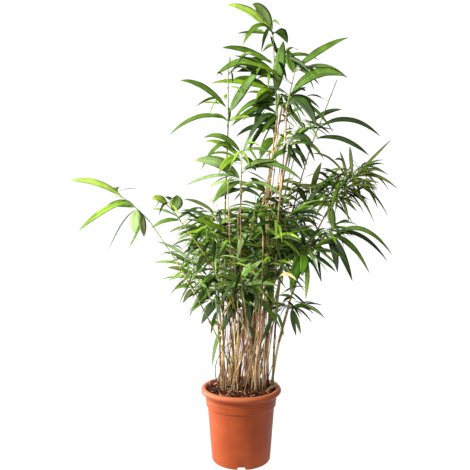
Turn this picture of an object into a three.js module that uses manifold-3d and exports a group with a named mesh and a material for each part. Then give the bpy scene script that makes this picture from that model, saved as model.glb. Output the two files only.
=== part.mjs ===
import * as THREE from "three";
import { mergeVertices } from "three/addons/utils/BufferGeometryUtils.js";
import Module from "manifold-3d";

// A clump of arrow bamboo in its nursery pot, in millimetres, +Z up.
// The origin is the centre of the pot's underside. +X is to the right as seen from the front, which faces -Y.

const GAP = 0.3; // clearance between neighbouring pieces
const WELD = 1e-3; // points nearer than this are one
const HEIGHT = 1600; // ground to the highest leaf
const CROWN = new THREE.Box3(
  new THREE.Vector3(-592, -430, 240),
  new THREE.Vector3(540, 475, HEIGHT),
);

const POT = {
  segments: 28,
  height: 250,
  rim: 140, // outer radius of the rolled rim
  roll: 10.5, // radius of the roll
  rollPoints: 7, // points round the roll's section
  rollTurn: [-90, 135], // degrees round the roll's section, from its underside over the top
  neck: 123.5, // radius under the roll
  neckTop: 224, // height at which the roll begins
  collar: 189, // height of the step under the collar
  step: 5, // how far the collar stands out from the body
  slope: 5, // height of the step's slope
  draft: 2, // how much narrower the collar is at its foot than at its neck
  base: 101.5, // radius at the foot
  heel: [3, 4], // width and height of the bevel round the foot
  wall: 2.6,
  floor: 3,
  corner: 20, // height at which the inner wall turns in to the floor
  foot: 92, // inner radius of the ring that the pot stands on
  pad: 68, // radius of the middle pad of the underside
  padSlope: 6, // width of the slope from the pad up to the channel
  channel: 11, // height of the drain channel between pad and ring
  notches: 4,
  notchWidth: 28,
  notchHeight: 10,
  notchCorner: [4, 9, 2], // the arch's corner: narrowing at its foot and its top, and height between them
  notchDepth: 20, // length of the cut
  notchOut: 15, // how far outside the ring's inner edge the cut starts
};
const SOIL_TOP = 242;
const SOIL_INSET = GAP + 0.15; // a little over the clearance, for the flats between the segments

// A culm runs from its foot [x, y] on the soil to its tip [x, y, z], with its middle moved by bow [x, y, z].
// radius is at the foot and at the tip.
const CULM_SIDES = 5;
const CULM_STEPS = 6;
const CULMS = {
  far_left: { foot: [-4, -33], tip: [-313, -35, 824], bow: [25, -75, 17], radius: [2.8, 1.7] },
  second_left: { foot: [92, 12], tip: [-195, -150, 823], bow: [20, -70, 31], radius: [3.1, 1.9] },
  left_tall: { foot: [-62, -30], tip: [-45, 0, 1165], bow: [-6, 5, 0], radius: [5.2, 2.3] },
  green: { foot: [-32, 30], tip: [0, -30, 917], bow: [-6, 16, 0], radius: [4.2, 2.3] },
  centre: { foot: [-42, 5], tip: [20, -50, 640], bow: [6, -14, 0], radius: [5.4, 2.7] },
  front: { foot: [10, -14], tip: [1, -150, 602], bow: [15, -22, 0], radius: [3.2, 2.1] },
  main: { foot: [28, 12], tip: [128, 20, 1193], bow: [-10, 10, 0], radius: [5.2, 2.7] },
  second: { foot: [34, -28], tip: [158, -20, 1220], bow: [18, -14, 0], radius: [4.7, 2.5] },
  thin_right: { foot: [58, 56], tip: [206, 90, 1106], bow: [-18, 22, 0], radius: [3.6, 2] },
  back_tall: { foot: [-8, 62], tip: [140, 210, 1150], bow: [-10, 0, 0], radius: [4.2, 2.2] },
  reddish: { foot: [96, 40], tip: [164, 0, 1060], bow: [-20, 10, 0], radius: [4, 2.2] },
  grey: { foot: [112, 4], tip: [258, 40, 1115], bow: [-34, 6, 14], radius: [3.8, 2] },
  right: { foot: [108, 26], tip: [294, -40, 858], bow: [-26, 0, 14], radius: [4.6, 2.7] },
  front_right: { foot: [80, -22], tip: [112, -110, 505], bow: [-14, 10, 0], radius: [3.6, 2.2] },
  back_right: { foot: [62, 26], tip: [160, 180, 640], bow: [-10, -20, 0], radius: [4, 2.4] },
  back_left: { foot: [-56, 70], tip: [-92, 200, 640], bow: [0, -20, 0], radius: [4, 2.4] },
  back_centre: { foot: [16, 84], tip: [32, 250, 560], bow: [0, -22, 0], radius: [3.8, 2.4] },
  front_left: { foot: [-68, -4], tip: [-80, -100, 520], bow: [0, 24, 0], radius: [3.4, 2.2] },
  inner_left: { foot: [-12, 14], tip: [-46, -44, 540], bow: [0, 10, 0], radius: [3.6, 2.2] },
  inner_back: { foot: [36, 50], tip: [72, 72, 720], bow: [0, 14, 0], radius: [3.8, 2.2] },
  inner_front: { foot: [50, -66], tip: [66, -94, 570], bow: [0, 0, 0], radius: [3.6, 2.2] },
  stub: { foot: [-78, 48], tip: [-70, 50, 325], bow: [0, 0, 0], radius: [2.8, 1.9] },
};

// A spray of foliage grows from a culm, at a share of its length, 1 being its tip. Its stem ends at stem
// [x, y, z] from there and rises by arch in its middle. Its twigs are about reach long and carry leaves each,
// about leaf long and slim times as wide. Each own leaf is [share of the stem, tip x, y, z from there, arch,
// width].
const SPRAYS = {
  top: {
    on: "main", at: 1, stem: [-16, -10, 304], arch: 4,
    twigs: 5, reach: 45, leaves: 2, leaf: 150, slim: 0.14,
    own: [
      [0.98, -163, -20, 89, 24, 32], [0.97, -74, -10, 98, 24, 42], [0.96, -108, -60, -62, 48, 29],
      [0.95, 42, -90, -62, 25, 44], [0.27, 24, -30, 176, 0, 42], [0.59, -186, -20, 56, 25, 28],
      [0.62, -168, 40, -32, 35, 20], [0.51, -208, -40, -22, 42, 30], [0.29, -238, 20, 35, 20, 35],
      [0.44, -90, -60, 0, 12, 35], [0.25, -75, -70, -35, 30, 24], [0.14, -138, -30, -35, 25, 28],
      [0.1, 196, -30, -90, 58, 19], [0.3, -80, -60, -62, 8, 26], [0.16, -150, -40, -62, 34, 22],
      [0.02, -105, -40, -92, 34, 28], [0.05, -93, -40, 17, 10, 18], [0.02, -55, -40, -71, 14, 26],
    ],
  },
  second_top: {
    on: "second", at: 1, stem: [31, 0, 138], arch: 0,
    twigs: 3, reach: 40, leaves: 2, leaf: 150, slim: 0.14,
    own: [
      [0.85, -18, 20, 90, 0, 38], [0.97, 180, -20, 102, 12, 29], [0.3, 180, -50, 52, 42, 42],
      [0.02, 94, -60, -82, 54, 40],
    ],
  },
  left_tall_top: {
    on: "left_tall", at: 1, stem: [0, 10, 208], arch: 0,
    twigs: 3, reach: 40, leaves: 2, leaf: 130, slim: 0.13,
    own: [
      [0.18, 116, -40, 158, 8, 37], [0.25, -168, -20, 98, 26, 26], [0.08, -203, -40, -62, 38, 19],
      [0.95, 6, 10, 50, 0, 6], [0.05, -54, -30, 20, 8, 14], [0.05, 76, -30, 10, 10, 18],
    ],
  },
  right_thin_top: {
    on: "grey", at: 1, stem: [86, 0, 219], arch: 0,
    twigs: 1, reach: 35, leaves: 1, leaf: 70, slim: 0.12,
    own: [
      [0.21, 215, -30, -35, 45, 25], [0.03, 188, -40, -65, 30, 28],
    ],
  },
  green_top: {
    on: "green", at: 1, stem: [3, 4, 154], arch: 0,
    twigs: 4, reach: 40, leaves: 2, leaf: 120, slim: 0.12,
    own: [
      [0.93, -132, -20, 50, 28, 22], [0.8, -128, 20, 66, 20, 26], [0.33, -160, -40, 62, 22, 40],
      [0.75, -78, -60, -48, 26, 29], [0.4, -196, 10, -30, 20, 14], [0.95, -140, -30, -66, 60, 19],
      [0.5, 206, -40, -34, 44, 18], [0.2, 156, -60, -64, 36, 15], [0.55, 124, -30, 26, 14, 22],
      [0.1, -94, 30, -30, 12, 26], [0.97, 104, -30, -12, 14, 12], [0.85, 48, -23, -51, 8, 26],
      [0.3, -97, -11, -75, 14, 26],
    ],
  },
  far_left_tip: {
    on: "far_left", at: 1, stem: [-144, -10, 113], arch: 12,
    twigs: 2, reach: 30, leaves: 1, leaf: 70, slim: 0.12,
    own: [
      [0.6, -178, -30, 58, 22, 24], [0.33, -103, 10, 6, 12, 30], [0.5, -160, -40, -100, 18, 22],
      [0.3, 0, -30, -84, 4, 40], [0.25, 23, -40, -88, 2, 26], [0.1, -62, 20, -108, 6, 9],
      [0.3, -95, -20, -145, 26, 6], [0.8, -20, 110, 10, 20, 21],
    ],
  },
  second_left_tip: {
    on: "second_left", at: 1, stem: [-74, 0, 71], arch: 10,
    twigs: 2, reach: 35, leaves: 2, leaf: 80, slim: 0.12,
    own: [
      [0.55, -50, -20, 21, 12, 29], [0.3, 11, -10, 54, 4, 43], [0.12, -84, -20, 26, 8, 10],
      [0.02, -92, -20, -27, 12, 18],
    ],
  },
  centre_top: {
    on: "centre", at: 1, stem: [25, -20, 230], arch: 0,
    twigs: 7, reach: 55, leaves: 3, leaf: 125, slim: 0.12,
    own: [
      [0.65, -51, -67, -98, 40, 24], [0.7, 149, -66, -90, 30, 16],
    ],
  },
  front_fan: {
    on: "front", at: 1, stem: [0, -10, 35], arch: 0,
    twigs: 4, reach: 40, leaves: 2, leaf: 105, slim: 0.13,
    own: [
      [0.85, -81, -42, 45, 10, 15], [0.6, -75, -54, 26, 10, 19], [0.8, 27, -42, 62, 2, 23],
      [0.9, 63, -51, 68, 5, 19], [0.3, 110, -67, 10, 14, 20], [0.5, 50, -45, -37, 8, 16],
    ],
  },
  right_bough: {
    on: "right", at: 1, stem: [103, 0, 130], arch: 8,
    twigs: 8, reach: 50, leaves: 3, leaf: 115, slim: 0.105,
    own: [
      [0.97, 113, -20, 116, 1, 10], [0.93, 105, 20, 58, 15, 10], [0.9, 110, -20, 4, 23, 10],
      [0.8, 124, -20, -36, 41, 10], [0.75, 100, 20, -13, 33, 10], [0.65, 95, -20, -35, 37, 10],
      [0.55, 146, -20, -94, 49, 13], [0.5, 101, -30, -108, 41, 10], [0.4, 88, 10, -66, 29, 10],
      [0.7, -26, 10, 113, 7, 11], [0.85, -7, 10, 113, 7, 13], [0.75, -131, 10, 96, 33, 10],
      [0.6, -130, 0, -11, 16, 19], [0.45, -96, 10, 72, 21, 12], [0.15, -1, -50, -86, 0, 30],
      [0.35, 35, -20, -88, 21, 12],
    ],
  },
  thin_right_top: {
    on: "thin_right", at: 1, stem: [8, 10, 70], arch: 0,
    twigs: 3, reach: 40, leaves: 2, leaf: 125, slim: 0.13,
    own: [
      [0.75, 124, -60, -4, 12, 12], [0.4, 66, -60, 40, 8, 14], [0.1, 90, -50, -62, 26, 15],
    ],
  },
  reddish_top: {
    on: "reddish", at: 1, stem: [6, -4, 50], arch: 0,
    twigs: 3, reach: 40, leaves: 2, leaf: 120, slim: 0.13,
    own: [
      [0.95, 74, -50, -22, 22, 29], [0.6, 58, -40, 6, 6, 16], [0.3, 60, -50, -58, 20, 20],
      [0.2, -66, -50, -46, 16, 18], [0.95, 73, -36, 41, 10, 16], [0.1, 49, -30, -62, 10, 18],
    ],
  },
  back_tall_top: {
    on: "back_tall", at: 1, stem: [10, 30, 190], arch: 0,
    twigs: 4, reach: 60, leaves: 3, leaf: 160, slim: 0.14,
    own: [
      [0.9, -60, 120, 60, 25, 35], [0.7, 40, 150, 10, 35, 33], [0.75, -184, -40, -92, 26, 24],
      [0.55, -42, -60, -78, 14, 31], [0.82, -96, -50, -100, 44, 33], [0.2, -160, -50, -34, 30, 22],
      [0.03, -70, -50, -74, 22, 25], [0.05, -70, -51, -95, 20, 24], [0.3, -92, -69, -22, 26, 29],
    ],
  },
  back_right_top: {
    on: "back_right", at: 1, stem: [50, 70, 210], arch: 5,
    twigs: 7, reach: 60, leaves: 3, leaf: 150, slim: 0.14,
    own: [],
  },
  back_left_top: {
    on: "back_left", at: 1, stem: [-25, 70, 200], arch: 5,
    twigs: 7, reach: 60, leaves: 3, leaf: 150, slim: 0.14,
    own: [],
  },
  back_centre_top: {
    on: "back_centre", at: 1, stem: [12, 70, 210], arch: 5,
    twigs: 7, reach: 55, leaves: 3, leaf: 145, slim: 0.14,
    own: [],
  },
  front_left_top: {
    on: "front_left", at: 1, stem: [-15, 20, 190], arch: 0,
    twigs: 4, reach: 50, leaves: 3, leaf: 110, slim: 0.12,
    own: [
      [0.05, -20, 3, -79, 8, 12],
    ],
  },
  front_right_top: {
    on: "front_right", at: 1, stem: [20, -30, 190], arch: 0,
    twigs: 5, reach: 50, leaves: 3, leaf: 110, slim: 0.13,
    own: [
      [0.05, -46, 13, -94, 14, 13], [0.1, 25, -4, -76, 12, 11],
    ],
  },
  inner_left_top: {
    on: "inner_left", at: 1, stem: [-35, -35, 210], arch: 0,
    twigs: 6, reach: 55, leaves: 3, leaf: 115, slim: 0.12,
    own: [],
  },
  inner_back_top: {
    on: "inner_back", at: 1, stem: [25, 5, 210], arch: 0,
    twigs: 7, reach: 55, leaves: 3, leaf: 135, slim: 0.14,
    own: [
      [0.97, -63, -27, 60, 12, 25], [0.9, 68, -27, 46, 12, 21],
    ],
  },
  inner_front_top: {
    on: "inner_front", at: 1, stem: [18, 10, 230], arch: 0,
    twigs: 6, reach: 55, leaves: 3, leaf: 115, slim: 0.13,
    own: [
      [0.35, 30, -50, -95, 30, 33], [0.2, -25, -50, -90, 25, 22],
    ],
  },
  right_low: {
    on: "right", at: 0.86, stem: [60, -20, -5], arch: 5,
    twigs: 4, reach: 40, leaves: 2, leaf: 115, slim: 0.115,
    own: [
      [0.9, 198, -21, -64, 55, 19], [0.95, 193, 30, -86, 48, 17], [0.8, 67, -33, -153, 25, 24],
      [0.7, 115, 15, -83, 22, 21], [0.6, 29, -37, -125, 12, 24], [0.85, 126, -12, -126, 34, 17],
      [0.3, 2, 7, -161, 5, 11],
    ],
  },
  right_droop: {
    on: "right", at: 0.73, stem: [-10, -60, 15], arch: 5,
    twigs: 5, reach: 45, leaves: 2, leaf: 125, slim: 0.15,
    own: [
      [0.7, -60, -96, -120, 16, 37], [0.9, -22, -84, -70, 12, 32], [0.6, -8, -72, -146, 8, 17],
      [0.93, 48, -42, -93, 8, 9], [0.8, 98, -30, -61, 12, 17],
    ],
  },
  right_foot: {
    on: "right", at: 0.43, stem: [15, -40, 10], arch: 0,
    twigs: 3, reach: 35, leaves: 2, leaf: 95, slim: 0.12,
    own: [
      [0.9, 40, -40, 5, 8, 16], [0.8, 10, -30, -90, 10, 16], [0.6, 28, -50, -80, 10, 16],
      [0.9, 105, -20, -30, 20, 15],
    ],
  },
  left_foot: {
    on: "left_tall", at: 0.23, stem: [-6, -30, 12], arch: 0,
    twigs: 1, reach: 30, leaves: 1, leaf: 80, slim: 0.12,
    own: [
      [0.7, -30, -60, -118, 8, 13], [0.9, -46, 20, 10, 10, 14],
    ],
  },
  far_left_mid: {
    on: "far_left", at: 0.55, stem: [-20, 90, 125], arch: 5,
    twigs: 5, reach: 40, leaves: 3, leaf: 110, slim: 0.11,
    own: [
      [0.8, -127, 2, 74, 12, 11], [0.7, -101, -24, 50, 12, 11], [0.6, -141, 0, 25, 14, 10],
      [0.45, -91, -24, 29, 10, 15], [0.35, -90, 0, -2, 14, 12], [0.15, -72, -12, -4, 12, 17],
      [0.1, -41, -10, -39, 14, 19],
    ],
  },
  second_left_mid: {
    on: "second_left", at: 0.6, stem: [-45, 110, 180], arch: 5,
    twigs: 9, reach: 50, leaves: 3, leaf: 115, slim: 0.11,
    own: [],
  },
  left_tall_mid: {
    on: "left_tall", at: 0.3, stem: [-28, -45, 110], arch: 0,
    twigs: 8, reach: 45, leaves: 3, leaf: 110, slim: 0.12,
    own: [
      [0.3, -63, -30, -75, 15, 28], [0.6, -88, -40, -60, 15, 26],
    ],
  },
  left_tall_high: {
    on: "left_tall", at: 0.46, stem: [-30, 50, 200], arch: 0,
    twigs: 8, reach: 50, leaves: 3, leaf: 130, slim: 0.13,
    own: [
      [0.95, -111, -36, 48, 12, 14], [0.8, -73, -29, -2, 14, 24],
    ],
  },
  green_mid: {
    on: "green", at: 0.56, stem: [-20, -60, 190], arch: 0,
    twigs: 7, reach: 50, leaves: 3, leaf: 115, slim: 0.12,
    own: [
      [0.85, -123, -61, 50, 8, 19],
    ],
  },
  centre_mid: {
    on: "centre", at: 0.62, stem: [10, -30, 110], arch: 0,
    twigs: 6, reach: 45, leaves: 3, leaf: 105, slim: 0.13,
    own: [
      [0.9, 18, -60, -110, 45, 33], [0.7, 120, -60, -95, 40, 22], [0.5, -70, -50, -90, 35, 26],
      [0.1, -24, -10, -104, 10, 15], [0.15, 49, -26, -95, 16, 13],
    ],
  },
  main_mid: {
    on: "main", at: 0.44, stem: [-15, 70, 200], arch: 0,
    twigs: 7, reach: 50, leaves: 3, leaf: 135, slim: 0.13,
    own: [],
  },
  second_mid: {
    on: "second", at: 0.42, stem: [45, -60, 200], arch: 0,
    twigs: 8, reach: 50, leaves: 3, leaf: 135, slim: 0.14,
    own: [],
  },
  reddish_mid: {
    on: "reddish", at: 0.44, stem: [60, 60, 170], arch: 0,
    twigs: 7, reach: 50, leaves: 3, leaf: 130, slim: 0.14,
    own: [],
  },
  grey_mid: {
    on: "grey", at: 0.6, stem: [90, 30, 150], arch: 0,
    twigs: 8, reach: 50, leaves: 3, leaf: 115, slim: 0.12,
    own: [
      [0.95, 33, -30, 117, 4, 21], [0.9, 75, -38, 59, 8, 16], [0.75, -39, -34, 54, 12, 23],
    ],
  },
};

const STEM_RADIUS = [2.1, 1.3]; // at the foot and the tip of a spray's stem
const TWIG_RADIUS = [1.5, 1.1];
const STEM_STEPS = 3;
const TWIG_SIDES = 3;
const APPROACHES = 4; // times that a stem is moved nearer its culm
const ROOT = 0.5; // how far a leaf's foot runs on through the middle of its twig
const FACING = [0, -0.85, 0.5]; // where the upper side of an own leaf's blade faces
const UP = new THREE.Vector3(0, 0, 1);
const STEEP = 0.2; // sine of the angle between a path and up, under which the path counts as running along up

// A blade's section is a V. Its edges stand over its middle line and its keel hangs under it, each by a height
// and a share of the leaf's width or length. A station is a share of the length and a share of the width.
const BLADE = {
  fold: 0.3,
  foldShare: 0.06,
  keel: 0.4,
  keelShare: 0.008,
  ownStations: [[0.32, 1], [0.68, 0.78]],
  ruleStations: [[0.42, 1]],
};

// The seeded rule that places the twigs of a spray and their leaves. A pair is the least and the most. Turns,
// lift, fall and twist are in degrees and the other values are shares.
const RULE = {
  seedTurn: 40, // turn round the stem from one spray's first twig to the next spray's
  twigTurn: 137.5, // turn round the stem from one twig to the next
  jitter: [-25, 25], // added to that turn
  bareStem: 0.12, // share of the stem under its first twig
  place: 0.6, // where in its step of the stem a twig stands
  lift: [5, 50], // rise of a twig
  twigLength: [0.7, 1.25], // of the spray's reach
  twigArch: 0.06, // of the twig's length
  endTurn: [-12, 12], // turn of a twig's end leaf from its twig
  sideTurn: [28, 62], // turn of its side leaves
  fall: [-25, 55], // droop of a leaf
  leafLength: [0.72, 1.2], // of the spray's leaf
  sideLength: 0.85, // of that for a side leaf
  leafWidth: [0.85, 1.2], // of the leaf's length times slim
  leafStep: 0.3, // share of the twig from one leaf to the next
  leafArch: [0.06, 0.18], // of the leaf's length
  twist: [20, 75], // turn of a blade about its own length
};

const COLOURS = {
  pot: ["#b6563a", 0.55],
  soil: ["#3a2417", 1],
  culm: ["#b59a63", 0.6],
  leaf: ["#3f6b26", 0.5],
};

const wasm = await Module();
wasm.setup();

const radians = THREE.MathUtils.degToRad;
const lerp = THREE.MathUtils.lerp;
const vector = (values) => new THREE.Vector3(...values);

// Even numbers from 0 to 1 that are the same on every run.
function dice(seed) {
  let state = seed;
  return () => {
    state = (state * 16807) % 2147483647;
    return state / 2147483647;
  };
}

// A path from start by offset, with its middle moved by bow: start + offset t + bow 4t(1 - t).
function path(start, offset, bow) {
  return {
    at: (t) => start.clone().addScaledVector(offset, t).addScaledVector(bow, 4 * t * (1 - t)),
    along: (t) => offset.clone().addScaledVector(bow, 4 * (1 - 2 * t)).normalize(),
  };
}

// A closed skin over rings of points that turn anticlockwise about the path. An end ring may be one point.
function skin(rings) {
  const first = rings.map((_, k) => rings.slice(0, k).reduce((n, ring) => n + ring.length, 0));
  const sides = Math.max(...rings.map((ring) => ring.length));
  const index = [];
  for (let k = 0; k + 1 < rings.length; k++) {
    for (let i = 0; i < sides; i++) {
      const j = (i + 1) % sides;
      const low = rings[k].length > 1;
      const high = rings[k + 1].length > 1;
      if (low) index.push(first[k] + i, first[k] + j, first[k + 1] + (high ? j : 0));
      if (high) index.push(first[k] + (low ? i : 0), first[k + 1] + j, first[k + 1] + i);
    }
  }
  const last = rings.length - 1;
  for (let i = 1; i + 1 < sides; i++) {
    if (rings[0].length > 1) index.push(0, i + 1, i);
    if (rings[last].length > 1) index.push(first[last], first[last] + i, first[last] + i + 1);
  }
  const geometry = new THREE.BufferGeometry();
  const numbers = rings.flat().flatMap((p) => p.toArray());
  geometry.setAttribute("position", new THREE.Float32BufferAttribute(numbers, 3));
  geometry.setIndex(index);
  return geometry;
}

function solidOf(geometry) {
  const bare = geometry.clone();
  bare.deleteAttribute("normal");
  bare.deleteAttribute("uv");
  const merged = mergeVertices(bare, WELD);
  return new wasm.Manifold(
    new wasm.Mesh({
      numProp: 3,
      vertProperties: merged.attributes.position.array,
      triVerts: new Uint32Array(merged.index.array),
    }),
  );
}

function geometryOf(solid) {
  const { numProp, numVert, vertProperties, triVerts } = solid.getMesh();
  const geometry = new THREE.BufferGeometry();
  const numbers = new Float32Array(numVert * 3);
  for (let i = 0; i < numVert; i++) {
    numbers.set(vertProperties.subarray(i * numProp, i * numProp + 3), i * 3);
  }
  geometry.setAttribute("position", new THREE.BufferAttribute(numbers, 3));
  geometry.setIndex(new THREE.BufferAttribute(triVerts, 1));
  geometry.computeVertexNormals();
  return geometry;
}

// The two directions across a path: sideways to it and to up, then square to both, turned by turn degrees.
function across(along, turn = 0, up = UP) {
  const side = along.clone().cross(up);
  if (side.length() < STEEP) side.set(1, 0, 0).addScaledVector(along, -along.x);
  side.normalize().applyAxisAngle(along, radians(turn));
  return [side, along.clone().cross(side)];
}

function ring(centre, [side, over], radius, sides) {
  return Array.from({ length: sides }, (_, i) => {
    const angle = (2 * Math.PI * i) / sides;
    return centre
      .clone()
      .addScaledVector(side, radius * Math.cos(angle))
      .addScaledVector(over, radius * Math.sin(angle));
  });
}

// The rings of a tapering twig. A guard is fatter by margin.
function twigRings(line, [thick, thin], steps, margin) {
  const rings = [];
  for (let k = 0; k <= steps; k++) {
    const t = k / steps;
    rings.push(ring(line.at(t), across(line.along(t)), lerp(thick, thin, t) + margin, TWIG_SIDES));
  }
  return rings;
}

// The rings of a keeled blade: its right edge, left edge and keel at each station, and its tip.
function bladeRings({ line, length, width, turn, up, stations }, margin) {
  const keel = BLADE.keelShare * length + BLADE.keel + margin;
  const fold = BLADE.foldShare * width + BLADE.fold;
  const rings = stations.map(([t, share]) => {
    const [side, over] = across(line.along(t), turn, up);
    const half = (share * width) / 2 + margin;
    const centre = line.at(t);
    return [
      centre.clone().addScaledVector(side, half).addScaledVector(over, fold),
      centre.clone().addScaledVector(side, -half).addScaledVector(over, fold),
      centre.clone().addScaledVector(over, -keel),
    ];
  });
  return [...rings, [line.at(1)]];
}

// A leaf on the side of a twig: its blade narrows to a point inside the twig.
function leafSkin(leaf, margin) {
  const root = leaf.line.at(0).addScaledVector(leaf.line.along(0), -ROOT);
  return skin([[root], ...bladeRings(leaf, margin)]);
}

// The culm's line and its radius at a share of its length.
function culmLine({ foot, tip, bow, radius }) {
  const start = new THREE.Vector3(foot[0], foot[1], SOIL_TOP + GAP);
  const line = path(start, vector(tip).sub(start), vector(bow));
  return { ...line, radius: (t) => lerp(radius[0], radius[1], t) };
}

// A culm cut flat at the soil and square at its tip.
function culmSkin(line) {
  const rings = [];
  for (let k = 0; k <= CULM_STEPS; k++) {
    const t = k / CULM_STEPS;
    const along = k === 0 ? UP : line.along(t);
    const side = new THREE.Vector3(1, 0, 0).addScaledVector(along, -along.x).normalize();
    rings.push(ring(line.at(t), [side, along.clone().cross(side)], line.radius(t), CULM_SIDES));
  }
  return skin(rings);
}

// A spray's stem. It starts beyond its culm's tip or side and is brought up to it until it is clear by GAP.
function stemLine(spray, culm, culmSolid) {
  const offset = vector(spray.stem);
  const bow = new THREE.Vector3(0, 0, spray.arch);
  const heading = path(new THREE.Vector3(), offset, bow).along(0);
  const along = culm.along(spray.at);
  const sideways = heading.addScaledVector(along, -heading.dot(along)).normalize();
  const out = spray.at === 1 ? along : sideways;
  const reach = culm.radius(spray.at) + GAP + STEM_RADIUS[0];
  const start = culm.at(spray.at).addScaledVector(out, reach);
  for (let k = 0; k < APPROACHES; k++) {
    const clear = stemSolid(path(start, offset, bow)).minGap(culmSolid, 2 * reach);
    start.addScaledVector(out, GAP - clear);
  }
  return path(start, offset, bow);
}

// A level turn and a rise in radians as a direction.
function direction(turn, rise) {
  return new THREE.Vector3(
    Math.cos(turn) * Math.cos(rise),
    Math.sin(turn) * Math.cos(rise),
    Math.sin(rise),
  );
}

// Every twig and leaf of a spray, as lines and sizes: its own leaves first, then those of the seeded rule.
function growth(spray, stem, seed) {
  const roll = dice(seed);
  const between = ([low, high]) => low + (high - low) * roll();
  const upward = (height) => new THREE.Vector3(0, 0, height);
  const own = spray.own.map(([share, x, y, z, arch, width]) => {
    const offset = new THREE.Vector3(x, y, z);
    const line = path(stem.at(share), offset, upward(arch));
    const up = vector(FACING);
    return { line, length: offset.length(), width, turn: 0, up, stations: BLADE.ownStations };
  });
  const twigs = [];
  for (let i = 0; i < spray.twigs; i++) {
    const share = RULE.bareStem + ((1 - RULE.bareStem) * (i + RULE.place)) / spray.twigs;
    const turn = radians(i * RULE.twigTurn + between(RULE.jitter) + seed * RULE.seedTurn);
    const lift = radians(between(RULE.lift));
    const reach = spray.reach * between(RULE.twigLength);
    const twig = direction(turn, lift).multiplyScalar(reach);
    const line = path(stem.at(share), twig, upward(RULE.twigArch * reach));
    const leaves = [];
    for (let j = 0; j < spray.leaves; j++) {
      const hand = j % 2 ? 1 : -1;
      const spread = radians(j === 0 ? between(RULE.endTurn) : hand * between(RULE.sideTurn));
      const fall = radians(between(RULE.fall));
      const length = spray.leaf * between(RULE.leafLength) * (j === 0 ? 1 : RULE.sideLength);
      const width = length * spray.slim * between(RULE.leafWidth);
      const offset = direction(turn + spread, -fall).multiplyScalar(length);
      const bow = upward(length * between(RULE.leafArch));
      leaves.push({
        line: path(line.at(1 - RULE.leafStep * j), offset, bow),
        length,
        width,
        turn: hand * between(RULE.twist),
        stations: BLADE.ruleStations,
      });
    }
    twigs.push({ line, leaves });
  }
  return { own, twigs };
}

// True where a guard, a piece made a little too large, is inside the crown and clear of every other solid.
function isFree(guard, line, others) {
  if (!CROWN.containsPoint(line.at(1))) return false;
  const box = guard.boundingBox();
  return others.every(({ solid, bounds }) => {
    const apart = [0, 1, 2].some((k) => box.min[k] > bounds.max[k] || box.max[k] < bounds.min[k]);
    return apart || solid.intersect(guard).isEmpty();
  });
}

function stemSolid(stem) {
  return solidOf(skin(twigRings(stem, STEM_RADIUS, STEM_STEPS, 0)));
}

// The spray as one solid. A twig or leaf that would touch a culm or another spray is left out.
function spraySolid(spray, stem, seed, others) {
  let solid = stemSolid(stem);
  const addWhereFree = (build, line) => {
    const free = isFree(solidOf(build(GAP)), line, others);
    if (free) solid = solid.add(solidOf(build(0)));
    return free;
  };
  const addLeaf = (leaf) => addWhereFree((margin) => leafSkin(leaf, margin), leaf.line);
  const { own, twigs } = growth(spray, stem, seed);
  own.forEach(addLeaf);
  for (const { line, leaves } of twigs) {
    const [end, ...rest] = leaves;
    const twig = (margin) => twigRings(line, TWIG_RADIUS, 1, margin);
    const tipped = addWhereFree((margin) => skin([...twig(margin), ...bladeRings(end, margin)]), end.line);
    if (tipped || addWhereFree((margin) => skin(twig(margin)), line)) rest.forEach(addLeaf);
  }
  // Only the largest body is kept, which also fills a hollow that leaves seal.
  return solid.decompose().sort((a, b) => b.volume() - a.volume())[0];
}

function material([colour, roughness]) {
  return new THREE.MeshStandardMaterial({ color: colour, roughness, metalness: 0 });
}

function mesh(name, geometry, finish) {
  const made = new THREE.Mesh(geometry, material(finish));
  made.name = name;
  return made;
}

// A profile of [radius, height] points turned about the upright axis.
function turned(profile) {
  const points = profile.map(([r, z]) => new THREE.Vector2(r, z));
  return new THREE.LatheGeometry(points, POT.segments).rotateX(Math.PI / 2);
}

// The radius of the pot's outside at a height below its collar.
function bodyRadius(z) {
  return lerp(POT.base, POT.neck - POT.draft - POT.step, z / POT.collar);
}

// The pot's inner wall, from under the rim down to the floor and its middle, standing in by inset.
function innerWall(inset) {
  const wall = POT.wall + inset;
  const floor = POT.floor + inset;
  return [
    [POT.neck - wall, POT.neckTop],
    [POT.neck - POT.draft - wall, POT.collar],
    [bodyRadius(POT.collar) - wall, POT.collar - POT.slope],
    [bodyRadius(POT.corner) - wall, POT.corner + inset],
    [POT.foot + POT.wall - wall, POT.channel + floor],
    [POT.pad + POT.padSlope - POT.wall, POT.channel + floor],
    [POT.pad - POT.wall, floor],
    [0, floor],
  ];
}

function potSolid() {
  const roll = Array.from({ length: POT.rollPoints }, (_, k) => {
    const angle = radians(lerp(...POT.rollTurn, k / (POT.rollPoints - 1)));
    return [
      POT.rim - POT.roll + POT.roll * Math.cos(angle),
      POT.height - POT.roll + POT.roll * Math.sin(angle),
    ];
  });
  const [heelWidth, heelHeight] = POT.heel;
  const profile = [
    [0, 0],
    [POT.pad, 0],
    [POT.pad + POT.padSlope, POT.channel],
    [POT.foot - 1, POT.channel],
    [POT.foot, 0],
    [POT.base - heelWidth, 0],
    [POT.base, heelHeight],
    [bodyRadius(POT.collar), POT.collar - POT.slope],
    [POT.neck - POT.draft, POT.collar],
    [POT.neck, POT.neckTop],
    ...roll,
    ...innerWall(0),
  ];
  let pot = solidOf(turned(profile));
  for (let k = 0; k < POT.notches; k++) {
    pot = pot.subtract(solidOf(notch((360 * k) / POT.notches)));
  }
  return pot;
}

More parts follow.
